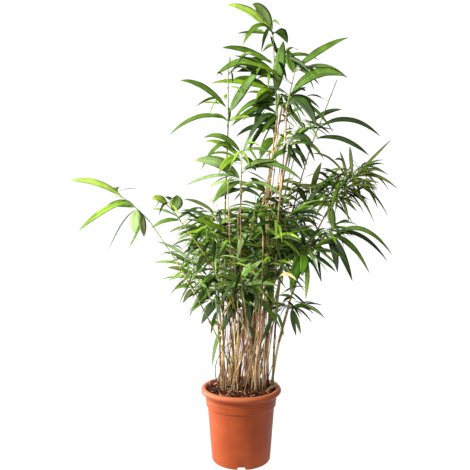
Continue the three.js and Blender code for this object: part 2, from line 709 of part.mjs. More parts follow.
// A drain notch: an arch through the ring that the pot stands on, turned from the front.
function notch(turn) {
  const half = POT.notchWidth / 2;
  const [low, high, drop] = POT.notchCorner;
  const arch = new THREE.Shape();
  arch.moveTo(-half, -1);
  arch.lineTo(half, -1);
  arch.lineTo(half - low, POT.notchHeight - drop);
  arch.lineTo(half - high, POT.notchHeight);
  arch.lineTo(high - half, POT.notchHeight);
  arch.lineTo(low - half, POT.notchHeight - drop);
  return new THREE.ExtrudeGeometry(arch, { depth: POT.notchDepth, bevelEnabled: false })
    .rotateX(Math.PI / 2)
    .translate(0, POT.foot + POT.notchOut, 0)
    .rotateZ(radians(turn + 180));
}

function soilSolid() {
  const wall = innerWall(SOIL_INSET).reverse();
  const side = POT.neck - POT.wall - SOIL_INSET;
  return solidOf(turned([...wall, [side, SOIL_TOP], [0, SOIL_TOP]]));
}

const plant = new THREE.Group();
plant.add(mesh("pot", geometryOf(potSolid()), COLOURS.pot));
plant.add(mesh("soil", geometryOf(soilSolid()), COLOURS.soil));

// Every solid that foliage keeps clear of, under its name: culms and bare stems, then the grown sprays.
const solids = new Map();
const keep = (name, solid) => solids.set(name, { solid, bounds: solid.boundingBox() });
const culms = {};
for (const [name, culm] of Object.entries(CULMS)) {
  culms[name] = culmLine(culm);
  const geometry = culmSkin(culms[name]);
  keep(`culm_${name}`, solidOf(geometry));
  plant.add(mesh(`culm_${name}`, geometry, COLOURS.culm));
}
const stems = Object.entries(SPRAYS).map(([name, spray]) => [
  `leaves_${name}`,
  spray,
  stemLine(spray, culms[spray.on], solids.get(`culm_${spray.on}`).solid),
]);
stems.forEach(([name, , stem]) => keep(name, stemSolid(stem)));
stems.forEach(([name, spray, stem], k) => {
  const others = [...solids].filter(([other]) => other !== name).map(([, piece]) => piece);
  const solid = spraySolid(spray, stem, k + 1, others);
  keep(name, solid);
  plant.add(mesh(name, geometryOf(solid), COLOURS.leaf));
});

export default plant;
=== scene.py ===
# %% [markdown]
# # A clump of bamboo in its nursery pot
# The real plant is some twenty canes and many thinner shoots, which lean out of a terracotta coloured
# plastic pot and carry sprays of long narrow leaves. A measured CAD model gives every size and place.
# This script gives its plain solids the surface of the real thing, in metres and in the same frame.

# %% Load the measured part
import math
from types import SimpleNamespace

import bpy
import numpy as np
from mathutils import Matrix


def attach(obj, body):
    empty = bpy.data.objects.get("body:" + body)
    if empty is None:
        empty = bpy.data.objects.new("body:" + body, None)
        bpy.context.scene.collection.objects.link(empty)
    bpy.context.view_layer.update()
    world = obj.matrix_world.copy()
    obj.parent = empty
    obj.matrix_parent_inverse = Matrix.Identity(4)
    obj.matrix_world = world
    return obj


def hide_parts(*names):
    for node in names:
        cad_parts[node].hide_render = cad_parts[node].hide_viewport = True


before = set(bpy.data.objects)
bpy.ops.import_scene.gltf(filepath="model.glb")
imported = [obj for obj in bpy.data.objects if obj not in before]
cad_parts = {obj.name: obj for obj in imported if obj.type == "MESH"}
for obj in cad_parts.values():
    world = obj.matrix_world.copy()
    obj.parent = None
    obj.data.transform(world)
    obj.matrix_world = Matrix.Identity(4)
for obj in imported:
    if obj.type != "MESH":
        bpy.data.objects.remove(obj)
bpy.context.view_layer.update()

# %% [markdown]
# ## The camera
# A photograph is matched with three numbers: where the camera stands, how high, and how wide it
# sees. The ellipses of the pot's rim and foot give the height, and the camera looks level, so
# upright canes stay upright in the picture.

# %% Camera
CAMERA_PLACE = (-0.021, -1.8, 0.779)
PICTURE = 470  # width and height of the photograph in pixels
FOCAL_PIXELS = 514
SENSOR = 36.0

lens = bpy.data.cameras.new("camera")
lens.sensor_width = SENSOR
lens.lens = SENSOR * FOCAL_PIXELS / PICTURE
camera = bpy.data.objects.new("camera", lens)
camera.location = CAMERA_PLACE
camera.rotation_euler = (math.pi / 2, 0, 0)
bpy.context.scene.collection.objects.link(camera)
bpy.context.scene.camera = camera
bpy.context.scene.view_settings.view_transform = "Standard"
print("lens", round(lens.lens, 2), "mm")

# %% [markdown]
# ## Meshes from arrays
# Everything on this plant is a tube of some kind: a cane, a twig, a leaf blade and even a chip of
# bark are rings of points set along a line. Bevelled curves could make canes and twigs, but not a
# leaf's section, and thousands of them are slow. So one function makes the faces of many tubes at
# once, and the shapes themselves are plain arithmetic on whole arrays.

# %% Tools for making pieces
MM = 0.001
UP = np.array([0.0, 0.0, 1.0])
BACK = np.array([0.0, 1.0, 0.0])
STEEP = 0.95  # cosine to up above which a line counts as running along it


def tube_faces(count, stations, sides):
    """Faces of count tubes: a quad between each two points of neighbouring rings, and a cap at both ends.
    Point numbers run round a ring, then along the tube, then from tube to tube."""
    ring = np.arange(sides)
    low = np.arange(stations - 1)[:, None] * sides
    a, b = low + ring, low + (ring + 1) % sides
    quads = np.stack([a, b, b + sides, a + sides], -1).reshape(-1, 4)
    caps = np.stack([ring[::-1], ring + (stations - 1) * sides])
    first = np.arange(count)[:, None, None] * (stations * sides)
    return (quads + first).reshape(-1, 4).tolist() + (caps + first).reshape(-1, sides).tolist()


def shell_faces(count, stations, sides):
    """Faces of tubes that are pressed into thin shells. The quads of both skins are cut into triangles along the same
    diagonal, so that the skins never cross each other."""
    faces = tube_faces(count, stations, sides)
    cut = count * (stations - 1) * sides
    quads = np.array(faces[:cut]).reshape(-1, 2, sides // 2, 4)
    quads[:, 1] = np.roll(quads[:, 1], 1, -1)
    return quads.reshape(-1, 4)[:, [0, 1, 2, 0, 2, 3]].reshape(-1, 3).tolist() + faces[cut:]


def unit(vectors):
    """Vectors of length one."""
    return vectors / np.maximum(np.linalg.norm(vectors, axis=-1, keepdims=True), 1e-9)


def frames(lines, up=UP):
    """Sideways and over directions at each point of lines (n, stations, 3). Sideways is square to the line's
    heading and to up, or to the back where the line nearly runs along up."""
    along = unit(np.gradient(lines, axis=1))
    steep = np.abs((along[:, :1] * up).sum(-1, keepdims=True)) > STEEP
    side = unit(np.cross(along, np.broadcast_to(np.where(steep, BACK, up), along.shape)))
    return side, np.cross(along, side)


def sweep(lines, radii, sides, flat=1.0, rough=1.0):
    """Rings along lines: centre + radius (cos a side + flat sin a over), each point's radius times rough."""
    side, over = frames(lines)
    angle = np.arange(sides) * 2 * np.pi / sides
    wide = radii[..., None] * rough
    x, y = wide * np.cos(angle), wide * np.sin(angle) * flat
    return lines[:, :, None] + x[..., None] * side[:, :, None] + y[..., None] * over[:, :, None]


def make_piece(name, points, faces, finish, uv=None, **values):
    """A smooth mesh object from points and faces, with its UV map and point values for its material."""
    mesh = bpy.data.meshes.new(name)
    points = np.asarray(points, float).reshape(-1, 3)
    mesh.from_pydata(points.tolist(), [], faces)
    mesh.polygons.foreach_set("use_smooth", np.ones(len(mesh.polygons), bool))
    if uv is not None:
        corner = np.empty(len(mesh.loops), np.int32)
        mesh.loops.foreach_get("vertex_index", corner)
        layer = mesh.uv_layers.new(name="UVMap")
        layer.data.foreach_set("uv", np.asarray(uv, np.float32).reshape(-1, 2)[corner].ravel())
    for key, numbers in values.items():
        layer = mesh.attributes.new(key, "FLOAT", "POINT")
        layer.data.foreach_set("value", np.asarray(numbers, np.float32).ravel())
    mesh.materials.append(finish)
    mesh.update()
    piece = bpy.data.objects.new(name, mesh)
    bpy.context.scene.collection.objects.link(piece)
    triangles = sum(len(f) - 2 for f in faces)
    print(name, len(points), "points", triangles, "triangles")
    return piece


# %% [markdown]
# ## Finishes
# Every finish is a Principled shader fed by noise. Its nodes could be placed by hand in the editor,
# but a small builder keeps each finish to a few lines that can be read and changed: it adds a node,
# sets its values by name and links what feeds it.

# %% A builder for finishes
WHITE = (1.0, 1.0, 1.0, 1.0)


def colour(code, times=1.0, plus=0.0):
    """The linear colour of a hex code such as b6563a, each channel c carried to times c + plus, at most 1."""
    parts = [int(code[k:k + 2], 16) / 255 for k in (0, 2, 4)]
    linear = [p / 12.92 if p <= 0.04045 else ((p + 0.055) / 1.055) ** 2.4 for p in parts]
    return tuple(min(1.0, c * times + plus) for c in linear) + (1.0,)


class Finish:
    """A material and its nodes. Values are numbers or the outputs that feed them, by socket name, with an
    underscore for a space."""

    def __init__(self, name, **values):
        self.material = bpy.data.materials.new(name)
        self.material.use_nodes = True
        self.tree = self.material.node_tree
        self.skin(**values)

    def feed(self, socket, value):
        if isinstance(value, bpy.types.NodeSocket):
            self.tree.links.new(value, socket)
        else:
            socket.default_value = value

    def set(self, node, **values):
        for key, value in values.items():
            self.feed(node.inputs[key.replace("_", " ")], value)
        return node

    def skin(self, **values):
        self.set(self.tree.nodes["Principled BSDF"], **values)

    def add(self, kind, settings=None, **values):
        node = self.tree.nodes.new("ShaderNode" + kind)
        for key, value in (settings or {}).items():
            setattr(node, key, value)
        return self.set(node, **values)

    def noise(self, source, scale, detail=4.0, roughness=0.6):
        """Noise over the Object or UV coordinates times scale, which is one number or one for each axis."""
        where = self.add("Mapping", Vector=self.add("TexCoord").outputs[source],
                         Scale=np.broadcast_to(scale, 3).astype(float).tolist())
        return self.add("TexNoise", Vector=where.outputs["Vector"], Scale=1.0, Detail=detail,
                        Roughness=roughness).outputs["Fac"]

    def axis(self, source, letter):
        """One axis of the Object or UV coordinates."""
        return self.add("SeparateXYZ", Vector=self.add("TexCoord").outputs[source]).outputs[letter]

    def own(self, name="tone"):
        """The value that each point of the mesh has under this name."""
        return self.add("Attribute", {"attribute_name": name}).outputs["Fac"]

    def ramp(self, amount, *stops):
        """A colour ramp over amount; each stop is (place, hex code)."""
        node = self.add("ValToRGB", Fac=amount)
        marks = node.color_ramp.elements
        while len(marks) < len(stops):
            marks.new(0.5)
        for mark, (spot, code) in zip(marks, stops):
            mark.position = spot
            mark.color = colour(code)
        return node.outputs["Color"]

    def toned(self, noise, by, *stops):
        """A ramp over each point's own tone, to which the noise adds -by to by."""
        return self.ramp(self.maths("ADD", self.own(), self.spread(noise, -by, by, 0.3, 0.7)), *stops)

    def spread(self, amount, low, high, start=0.0, end=1.0):
        """Amount from start..end carried over to low..high."""
        return self.add("MapRange", Value=amount, From_Min=start, From_Max=end, To_Min=low,
                        To_Max=high).outputs["Result"]

    def maths(self, operation, *amounts):
        node = self.add("Math", {"operation": operation})
        for socket, amount in zip(node.inputs, amounts):
            self.feed(socket, amount)
        return node.outputs["Value"]

    def blend(self, amount, first, second, kind="MIX"):
        """Colours, or their hex codes, mixed by amount."""
        node = self.add("Mix", {"data_type": "RGBA", "blend_type": kind})
        sockets = {s.identifier: s for s in [*node.inputs, *node.outputs]}
        for key, value in (("Factor_Float", amount), ("A_Color", first), ("B_Color", second)):
            self.feed(sockets[key], colour(value) if isinstance(value, str) else value)
        return sockets["Result_Color"]

    def bump(self, height, distance, strength=1.0):
        return self.add("Bump", Height=height, Distance=distance, Strength=strength).outputs["Normal"]


print("finish builder ready")

# %% [markdown]
# ## The studio
# The photograph was taken against plain white. The paper runs from the floor up into the wall without
# a line and glows by itself, so it stays white however the plant is lit. Three soft lights do that: a
# strong one at the left front, a weak one over the camera and one low at the left back. The world
# looks white to the camera but gives hardly any light, which keeps the inside of the clump deep.

# %% Floor, world and lights
sheet = Finish("studio_paper", Roughness=0.9, Emission_Color=WHITE, Emission_Strength=1.0)
sheet.skin(Base_Color=sheet.ramp(sheet.noise("Object", 3), (0.3, "4c4b4a"), (0.7, "525150")))

FLOOR_FRONT, FLOOR_BACK, WALL_RADIUS, WALL_TOP = -0.5, 2.6, 1.2, 4.0
PAPER_LEFT, PAPER_RIGHT, PAPER_SPREAD = 0.9, 0.25, 0.46  # edges beyond the picture, and how they spread with distance
turn = np.linspace(0, np.pi / 2, 13)
section_y = np.concatenate([[FLOOR_FRONT], FLOOR_BACK + WALL_RADIUS * np.sin(turn), [FLOOR_BACK + WALL_RADIUS]])
section_z = np.concatenate([[0.0], WALL_RADIUS * (1 - np.cos(turn)), [WALL_TOP]])
rows = len(section_y)
reach = PAPER_SPREAD * (section_y - CAMERA_PLACE[1])
sheet_points = [(x, y, z) for edge in (-reach - PAPER_LEFT, reach + PAPER_RIGHT)
                for x, y, z in zip(edge, section_y, section_z)]
sheet_faces = [[k, rows + k, rows + k + 1, k + 1] for k in range(rows - 1)]
studio = make_piece("studio_floor", sheet_points, sheet_faces, sheet.material)

WORLD_LIGHT = 0.07
world = bpy.data.worlds.new("white_room")
bpy.context.scene.world = world
world.use_nodes = True
nodes, links = world.node_tree.nodes, world.node_tree.links
seen, strength = nodes.new("ShaderNodeLightPath"), nodes.new("ShaderNodeMath")
strength.operation = "MAXIMUM"
strength.inputs[1].default_value = WORLD_LIGHT
links.new(seen.outputs["Is Camera Ray"], strength.inputs[0])
links.new(strength.outputs["Value"], nodes["Background"].inputs["Strength"])
nodes["Background"].inputs["Color"].default_value = WHITE


def softbox(name, place, target, size, power):
    """A square area light at place that faces target."""
    light = bpy.data.lights.new(name, "AREA")
    light.shape, light.size, light.energy = "SQUARE", size, power
    lamp = bpy.data.objects.new(name, light)
    lamp.location = place
    heading = np.array(target, float) - np.array(place, float)
    lamp.rotation_euler = (math.acos(-heading[2] / np.linalg.norm(heading)), 0,
                           math.atan2(heading[1], heading[0]) - math.pi / 2)
    bpy.context.scene.collection.objects.link(lamp)


softbox("key", (-2.7, -1.1, 2.0), (0.0, 0.0, 0.7), 0.9, 225)
softbox("front", (-0.3, -2.6, 2.3), (0.0, 0.0, 0.8), 1.6, 70)
softbox("edge", (-2.4, 0.9, 0.6), (0.0, 0.0, 0.35), 1.2, 130)
print("studio ready")

# %% [markdown]
# ## The pot
# A nursery pot is blow-moulded or injection-moulded plastic: one wall that swells into a collar and
# rolls over into a rim, and stands on a ring with arched drain notches. It starts as a profile, half
# of the section through its middle, whose corners are eased because no moulded edge is sharp.

# %% The pot's profile
POT = SimpleNamespace(
    height=250, rim=140, roll=10.5, neck=123.5, neck_top=224, collar=189, step=5, slope=5, draft=2, base=101.5,
    heel=(3, 4), wall=2.6, floor=3, corner=20, foot=92, pad=68, pad_slope=6, channel=11, notches=4,
    notch_width=28, notch_height=10)
SOIL_TOP = 242
AXIS = 0.05  # how near the axis the profile starts and ends
RIDGE = [(-1.2, 207), (0.6, 209), (0, 211)]  # a fine ridge round the collar: distance from the neck, and height
ROUNDED = 2.2  # how far from an edge its rounding starts


def body_radius(z):
    """The pot's outside below its collar, which widens evenly with height."""
    return POT.base + (POT.neck - POT.draft - POT.step - POT.base) * z / POT.collar


def eased(corners, soft, steps=5):
    """A profile with each inner corner replaced by a short curve that starts soft from it on both sides."""
    out = [corners[0]]
    for before, here, after in zip(corners, corners[1:], corners[2:]):
        b, h, a = (np.array(p, float) for p in (before, here, after))
        reach = min(soft, np.linalg.norm(b - h) / 2.2, np.linalg.norm(a - h) / 2.2)
        p, q = h + unit(b - h) * reach, h + unit(a - h) * reach
        for t in np.linspace(0, 1, steps):
            out.append(tuple((1 - t) ** 2 * p + 2 * t * (1 - t) * h + t * t * q))
    return out + [corners[-1]]


slope_foot, ceiling = POT.collar - POT.slope, POT.channel + POT.floor
roll = [(POT.rim - POT.roll + POT.roll * math.cos(a), POT.height - POT.roll + POT.roll * math.sin(a))
        for a in np.radians(np.linspace(-90, 135, 16))]
outside = [(AXIS, 0), (POT.pad, 0), (POT.pad + POT.pad_slope, POT.channel), (POT.foot - 1, POT.channel),
           (POT.foot, 0), (POT.base - POT.heel[0], 0), (POT.base, POT.heel[1]),
           *((body_radius(z), z) for z in (60, 120, slope_foot)), (POT.neck - POT.draft, POT.collar),
           *((POT.neck + off, z) for off, z in RIDGE), (POT.neck, POT.neck_top)]
inside = [(POT.neck - POT.wall, POT.neck_top), (POT.neck - POT.draft - POT.wall, POT.collar),
          (body_radius(POT.collar) - POT.wall, slope_foot), (body_radius(POT.corner) - POT.wall, POT.corner),
          (POT.foot, ceiling), (POT.pad + POT.pad_slope / 2, ceiling), (POT.pad - POT.pad_slope / 2, POT.floor),
          (AXIS, POT.floor)]
pot_profile = np.array(eased(outside, ROUNDED) + roll[1:] + eased(inside, ROUNDED))
print("pot profile", len(pot_profile), "points")

# %% [markdown]
# ## The turned wall
# A Screw modifier could turn the profile and Boolean cuts could open the notches, at the price of
# ragged shading round them. Here the points are turned by arithmetic, which also makes the wall a
# little out of round, and an arch lifts the lowest points of the ring where the notches are.

# %% Turning the profile and lifting the notches
POT_COLUMNS = 288
OUT_OF_ROUND = (60, 139)  # radii between which the pot is a little out of round


def notch_lift(angle):
    """Height of the drain arches at an angle: full in their middle, falling off steeply at both sides."""
    pitch = 2 * np.pi / POT.notches
    off = np.abs((angle + np.pi / 2 + pitch / 2) % pitch - pitch / 2) * POT.base / (POT.notch_width / 2)
    return POT.notch_height * np.clip(1 - off ** 6, 0, 1) ** 0.5


angle = np.arange(POT_COLUMNS) * 2 * np.pi / POT_COLUMNS
radius, height = pot_profile[:, :1], np.repeat(pot_profile[:, 1:], POT_COLUMNS, 1)
in_ring = (radius > POT.foot - 1.5) & (height < POT.channel)
height = np.where(in_ring, height + notch_lift(angle) * (1 - height / POT.channel), height)
wobble = 0.25 * np.sin(2 * angle + 0.6) + 0.12 * np.sin(3 * angle)
turned = radius + wobble * (radius > OUT_OF_ROUND[0]) * (radius < OUT_OF_ROUND[1])
pot_points = np.stack([turned * np.cos(angle), turned * np.sin(angle), height], -1) * MM
pot_uv = np.stack([np.broadcast_to(angle / (2 * np.pi), height.shape), height * MM], -1)
print("pot wall", pot_points.shape[0], "rings of", POT_COLUMNS, "points")

# %% [markdown]
# ## The pot's plastic
# Terracotta coloured plastic has a satin gloss, a slightly mottled colour where the melt cooled
# unevenly, faint upright flow lines, and pale dust and scuffs. The rim's top is painted paler as a
# painted highlight. A painted picture could be wrapped round it; noise in the pot's own space has no seam and stays
# sharp.

# %% Satin terracotta plastic
plastic = Finish("terracotta_plastic", Specular_IOR_Level=0.17)
cloud = plastic.noise("Object", (9, 9, 14), 5)
speck = plastic.noise("Object", 420, 2)
flow = plastic.noise("Object", (60, 60, 5), 3)
tone = plastic.ramp(cloud, (0.25, "873714"), (0.5, "94401b"), (0.75, "9e4a24"))
tone = plastic.blend(plastic.spread(flow, 0, 0.35, 0.45, 0.75), tone, "7e3112")
dust = plastic.maths("MULTIPLY", plastic.spread(speck, 0, 0.5, 0.62, 0.8), plastic.spread(cloud, 0.2, 1, 0.4, 0.7))
tone = plastic.blend(dust, tone, "cf8a63")
# painted highlight: the rim's top, from 236 to 246 mm up, is blended towards a pale peach where the light catches the
# roll
painted_rim_highlight = plastic.spread(plastic.axis("Object", "Z"), 0, 0.38, 0.236, 0.246)
grain = plastic.maths("ADD", speck, plastic.maths("MULTIPLY", flow, 0.6))
plastic.skin(Base_Color=plastic.blend(painted_rim_highlight, tone, "cc7a55"),
             Roughness=plastic.spread(cloud, 0.38, 0.56, 0.3, 0.7), Normal=plastic.bump(grain, 0.00025, 0.5))
pot = make_piece("pot_moulded", pot_points, tube_faces(1, len(pot_profile), POT_COLUMNS), plastic.material, pot_uv)
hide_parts("pot")
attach(pot, "root")

# %% [markdown]
# ## The compost
# Bark compost settles into a rough mound. It could be sculpted, but here its surface is a disc whose
# height is a sum of waves, because the same function then tells every chip, root and straw how high
# the ground is under it.

# %% Compost surface
SOIL_RADIUS, SOIL_COLUMNS, SOIL_RINGS = 0.1201, 96, 40
SOIL_SIDE = [(0.0995, 0.023), (0.106, 0.10), (0.1128, 0.183), (0.1178, 0.19), (0.1201, 0.224)]  # radius and height
rng = np.random.default_rng(11)
WAVES = [(rng.uniform(0, 2 * np.pi), rng.uniform(25, 260), rng.uniform(0, 2 * np.pi)) for _ in range(26)]


def ground(x, y):
    """Height of the compost at x, y: a mound, flat in the middle, and waves that are flatter the shorter they are."""
    z = (SOIL_TOP * MM) + 0.006 * (1 - ((x * x + y * y) / SOIL_RADIUS ** 2) ** 2)
    for heading, pitch, phase in WAVES:
        z = z + 0.055 / (pitch + 20) * np.sin(pitch * (x * math.cos(heading) + y * math.sin(heading)) + phase)
    return z


angle = np.arange(SOIL_COLUMNS) * 2 * np.pi / SOIL_COLUMNS
radius = np.linspace(1, 0, SOIL_RINGS)[:, None] ** 0.8 * SOIL_RADIUS + 0.00002
x, y = radius * np.cos(angle), radius * np.sin(angle)
side = [(r * np.cos(angle), r * np.sin(angle), np.full(SOIL_COLUMNS, z)) for r, z in SOIL_SIDE]
soil_points = np.concatenate([np.stack(side).transpose(0, 2, 1), np.stack([x, y, ground(x, y)], -1)])
print("compost", len(soil_points), "rings, highest point", round(float(soil_points[..., 2].max()), 3), "m")

# %% [markdown]
# ## The compost's finish
# Damp bark is dark, and brown where a crumb has dried; the ground is painted nearly black, partly as
# painted shade for the gaps between the chips that lie on it. A fine noise gives the crumbs and their
# bump, and a broad one the damp patches. Displacement could raise each crumb, but the litter on top gives the relief
# that is seen.

# %% Compost finish
compost = Finish("bark_compost", Roughness=0.95, Specular_IOR_Level=0.15)
crumb = compost.noise("Object", 160, 6, 0.7)
# the nearly black stops are partly painted shade for the gaps between the chips
tone = compost.ramp(crumb, (0.3, "030100"), (0.5, "0e0401"), (0.68, "240d04"), (0.85, "4e2310"))
damp = compost.spread(compost.noise("Object", 30, 3), 0, 0.6, 0.4, 0.7)
compost.skin(Base_Color=compost.blend(damp, tone, "120905"), Normal=compost.bump(crumb, 0.002))
soil = make_piece("compost", soil_points, tube_faces(1, len(soil_points), SOIL_COLUMNS), compost.material)
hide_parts("soil")
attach(soil, "root")

# %% [markdown]
# ## Bark chips, roots and straws
# What makes compost read as compost is the litter on it. A chip is a short flat tube with uneven
# rings; a root or straw is a thin tube along a bent line. A particle system could strew them, but a
# seeded draw is simpler to repeat exactly. Each kind is one joined mesh.

# %% Litter
LITTER_SIDES = 5


def scatter(count, reach, rng):
    """count places spread evenly over a disc of radius reach: the radius is the root of an even number."""
    spot = rng.uniform(0, 2 * np.pi, count)
    far = reach * np.sqrt(rng.uniform(0, 1, count))
    return far * np.cos(spot), far * np.sin(spot)


def chips(count, rng):
    """Chips of bark: four uneven rings along a short line that lies or leans on the ground."""
    x, y = scatter(count, SOIL_RADIUS - 0.005, rng)
    length = rng.uniform(0.006, 0.02, count) * rng.uniform(0.6, 1.2, count)
    spin, rise = rng.uniform(0, 2 * np.pi, count), rng.normal(0, 0.35, count)
    heading = np.stack([np.cos(spin) * np.cos(rise), np.sin(spin) * np.cos(rise), np.sin(rise)], -1)
    middle = np.stack([x, y, ground(x, y) + rng.uniform(0.0, 0.003, count)], -1)
    t = np.array([-0.5, -0.3, 0.25, 0.5])
    lines = middle[:, None] + heading[:, None] * (t[None, :, None] * length[:, None, None])
    radii = length[:, None] * np.array([0.05, 0.17, 0.15, 0.04]) * rng.uniform(0.7, 1.3, (count, 4))
    rough = rng.uniform(0.7, 1.25, (count, 4, LITTER_SIDES))
    return sweep(lines, radii, LITTER_SIDES, flat=0.5, rough=rough)


def strands(count, rng, long, thick, lift):
    """Bent strands: a line over the ground with a sideways bow, whose ends may stand up by lift."""
    x, y = scatter(count, SOIL_RADIUS - 0.014, rng)
    spin = rng.uniform(0, 2 * np.pi, count)[:, None]
    length = rng.uniform(*long, count)[:, None]
    bow = rng.normal(0, 0.22, count)[:, None] * length
    t = np.linspace(-0.5, 0.5, 7)[None]
    across = bow * (1 - 4 * t * t)
    px = x[:, None] + np.cos(spin) * t * length - np.sin(spin) * across
    py = y[:, None] + np.sin(spin) * t * length + np.cos(spin) * across
    keep = np.minimum(1, (SOIL_RADIUS - 0.004) / np.maximum(np.hypot(px, py), 1e-6))
    px, py = px * keep, py * keep
    high = ground(px, py) + 0.0012 + lift * rng.uniform(0, 1, count)[:, None] * np.abs(t * 2) ** 2
    radii = rng.uniform(*thick, count)[:, None] * (1 - 0.5 * np.abs(t * 2) ** 3)
    return sweep(np.stack([px, py, high], -1), radii, LITTER_SIDES)


def litter_finish(name, dark, middle, pale):
    """A dry woody finish between three tones, dealt out by each piece's tone value, with a fine grain."""
    made = Finish(name, Roughness=0.85, Specular_IOR_Level=0.15)
    grain = made.noise("Object", 300, 3)
    tone = made.toned(grain, 0.2, (0.1, dark), (0.55, middle), (0.95, pale))
    made.skin(Base_Color=tone, Normal=made.bump(grain, 0.0006))
    return made.material


def litter(name, points, finish, rng, pale=0):
    """One joined piece of litter; each chip or strand draws its own tone, and the last few are pale."""
    count, stations, sides = points.shape[:3]
    tone = rng.uniform(0, 1, count) ** 2.2
    tone[count - pale:] = 0.85
    faces = tube_faces(count, stations, sides)
    piece = make_piece(name, points, faces, finish, tone=np.repeat(tone, stations * sides))
    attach(piece, "root")


RIM_STRAWS = np.array([[(0.081, -0.060, 0.249), (0.070, -0.078, 0.248), (0.092, -0.030, 0.248)],  # their ends
                       [(0.132, 0.030, 0.2535), (0.131, 0.008, 0.2525), (0.126, 0.048, 0.2525)]])
rng = np.random.default_rng(5)
bark = litter_finish("dry_bark", "080200", "3a1508", "7c421f")
straw = litter_finish("straw", "3a1509", "8a4b28", "e2c294")
litter("bark_chips", chips(1900, rng), bark, rng)
litter("roots", strands(420, rng, (0.015, 0.05), (0.0004, 0.001), 0.009), straw, rng)
loose = strands(90, rng, (0.03, 0.08), (0.0008, 0.0017), 0.016)
along = np.linspace(0, 1, 7)[:, None]
on_rim = RIM_STRAWS[0][:, None] * (1 - along) + RIM_STRAWS[1][:, None] * along
on_rim = sweep(on_rim, np.full(on_rim.shape[:2], 0.0014), LITTER_SIDES)
litter("straws", np.concatenate([loose, on_rim]), straw, rng, pale=len(on_rim))

# %% [markdown]
# ## The canes and their sprays
# The measured part lists each cane by its foot, its tip and how far its middle bows, and each spray
# of leaves by the cane it grows from. The same lists and the same seeded rule are used here, so the
# leaves lie where the measured solids are.

# %% The measured lists, in millimetres
# A cane is foot x, y on the compost, tip x, y, z, the bow of its middle x, y, z, its radius at foot and tip, and its
# place on the canes' colour ramp at foot and tip.
CULMS = dict(
    far_left=(-4, -33, -313, -35, 824, 25, -75, 17, 2.8, 1.7, 0.62, 0.66),
    second_left=(92, 12, -195, -150, 823, 20, -70, 31, 3.1, 1.9, 0.64, 0.66),
    left_tall=(-62, -30, -45, 0, 1165, -6, 5, 0, 5.2, 2.3, 0.1, 0.8),
    green=(-32, 30, 0, -30, 917, -6, 16, 0, 4.2, 2.3, 0.5, 0.7),
    centre=(-42, 5, 20, -50, 640, 6, -14, 0, 5.4, 2.7, 0.2, 0.5),
    front=(10, -14, 1, -150, 602, 15, -22, 0, 3.2, 2.1, 0.15, 0.6),
    main=(28, 12, 128, 20, 1193, -10, 10, 0, 5.2, 2.7, 0.24, 0.12),
    second=(34, -28, 158, -20, 1220, 18, -14, 0, 4.7, 2.5, 0.1, 0.22),
    thin_right=(58, 56, 206, 90, 1106, -18, 22, 0, 3.6, 2, 0.6, 0.7),
    back_tall=(-8, 62, 140, 210, 1150, -10, 0, 0, 4.2, 2.2, 0.4, 0.6),
    reddish=(96, 40, 164, 0, 1060, -20, 10, 0, 4, 2.2, 0.36, 0.4),
    grey=(112, 4, 258, 40, 1115, -34, 6, 14, 3.8, 2, 0.8, 0.84),
    right=(108, 26, 294, -40, 858, -26, 0, 14, 4.6, 2.7, 0.14, 0.3),
    front_right=(80, -22, 112, -110, 505, -14, 10, 0, 3.6, 2.2, 0.1, 0.5),
    back_right=(62, 26, 160, 180, 640, -10, -20, 0, 4, 2.4, 0.6, 0.6),
    # back_left, back_centre and inner_back start near the dark end of the ramp: painted shade inside the clump
    back_left=(-56, 70, -92, 200, 640, 0, -20, 0, 4, 2.4, 0.9, 0.5),
    back_centre=(16, 84, 32, 250, 560, 0, -22, 0, 3.8, 2.4, 1.0, 0.5),
    front_left=(-68, -4, -80, -100, 520, 0, 24, 0, 3.4, 2.2, 0.5, 0.6),
    inner_left=(-12, 14, -46, -44, 540, 0, 10, 0, 3.6, 2.2, 0.36, 0.5),
    inner_back=(36, 50, 72, 72, 720, 0, 14, 0, 3.8, 2.2, 0.95, 0.5),
    inner_front=(50, -66, 66, -94, 570, 0, 0, 0, 3.6, 2.2, 0.15, 0.5),
    stub=(-78, 48, -70, 50, 325, 0, 0, 0, 2.8, 1.9, 1.0, 1.0),
)

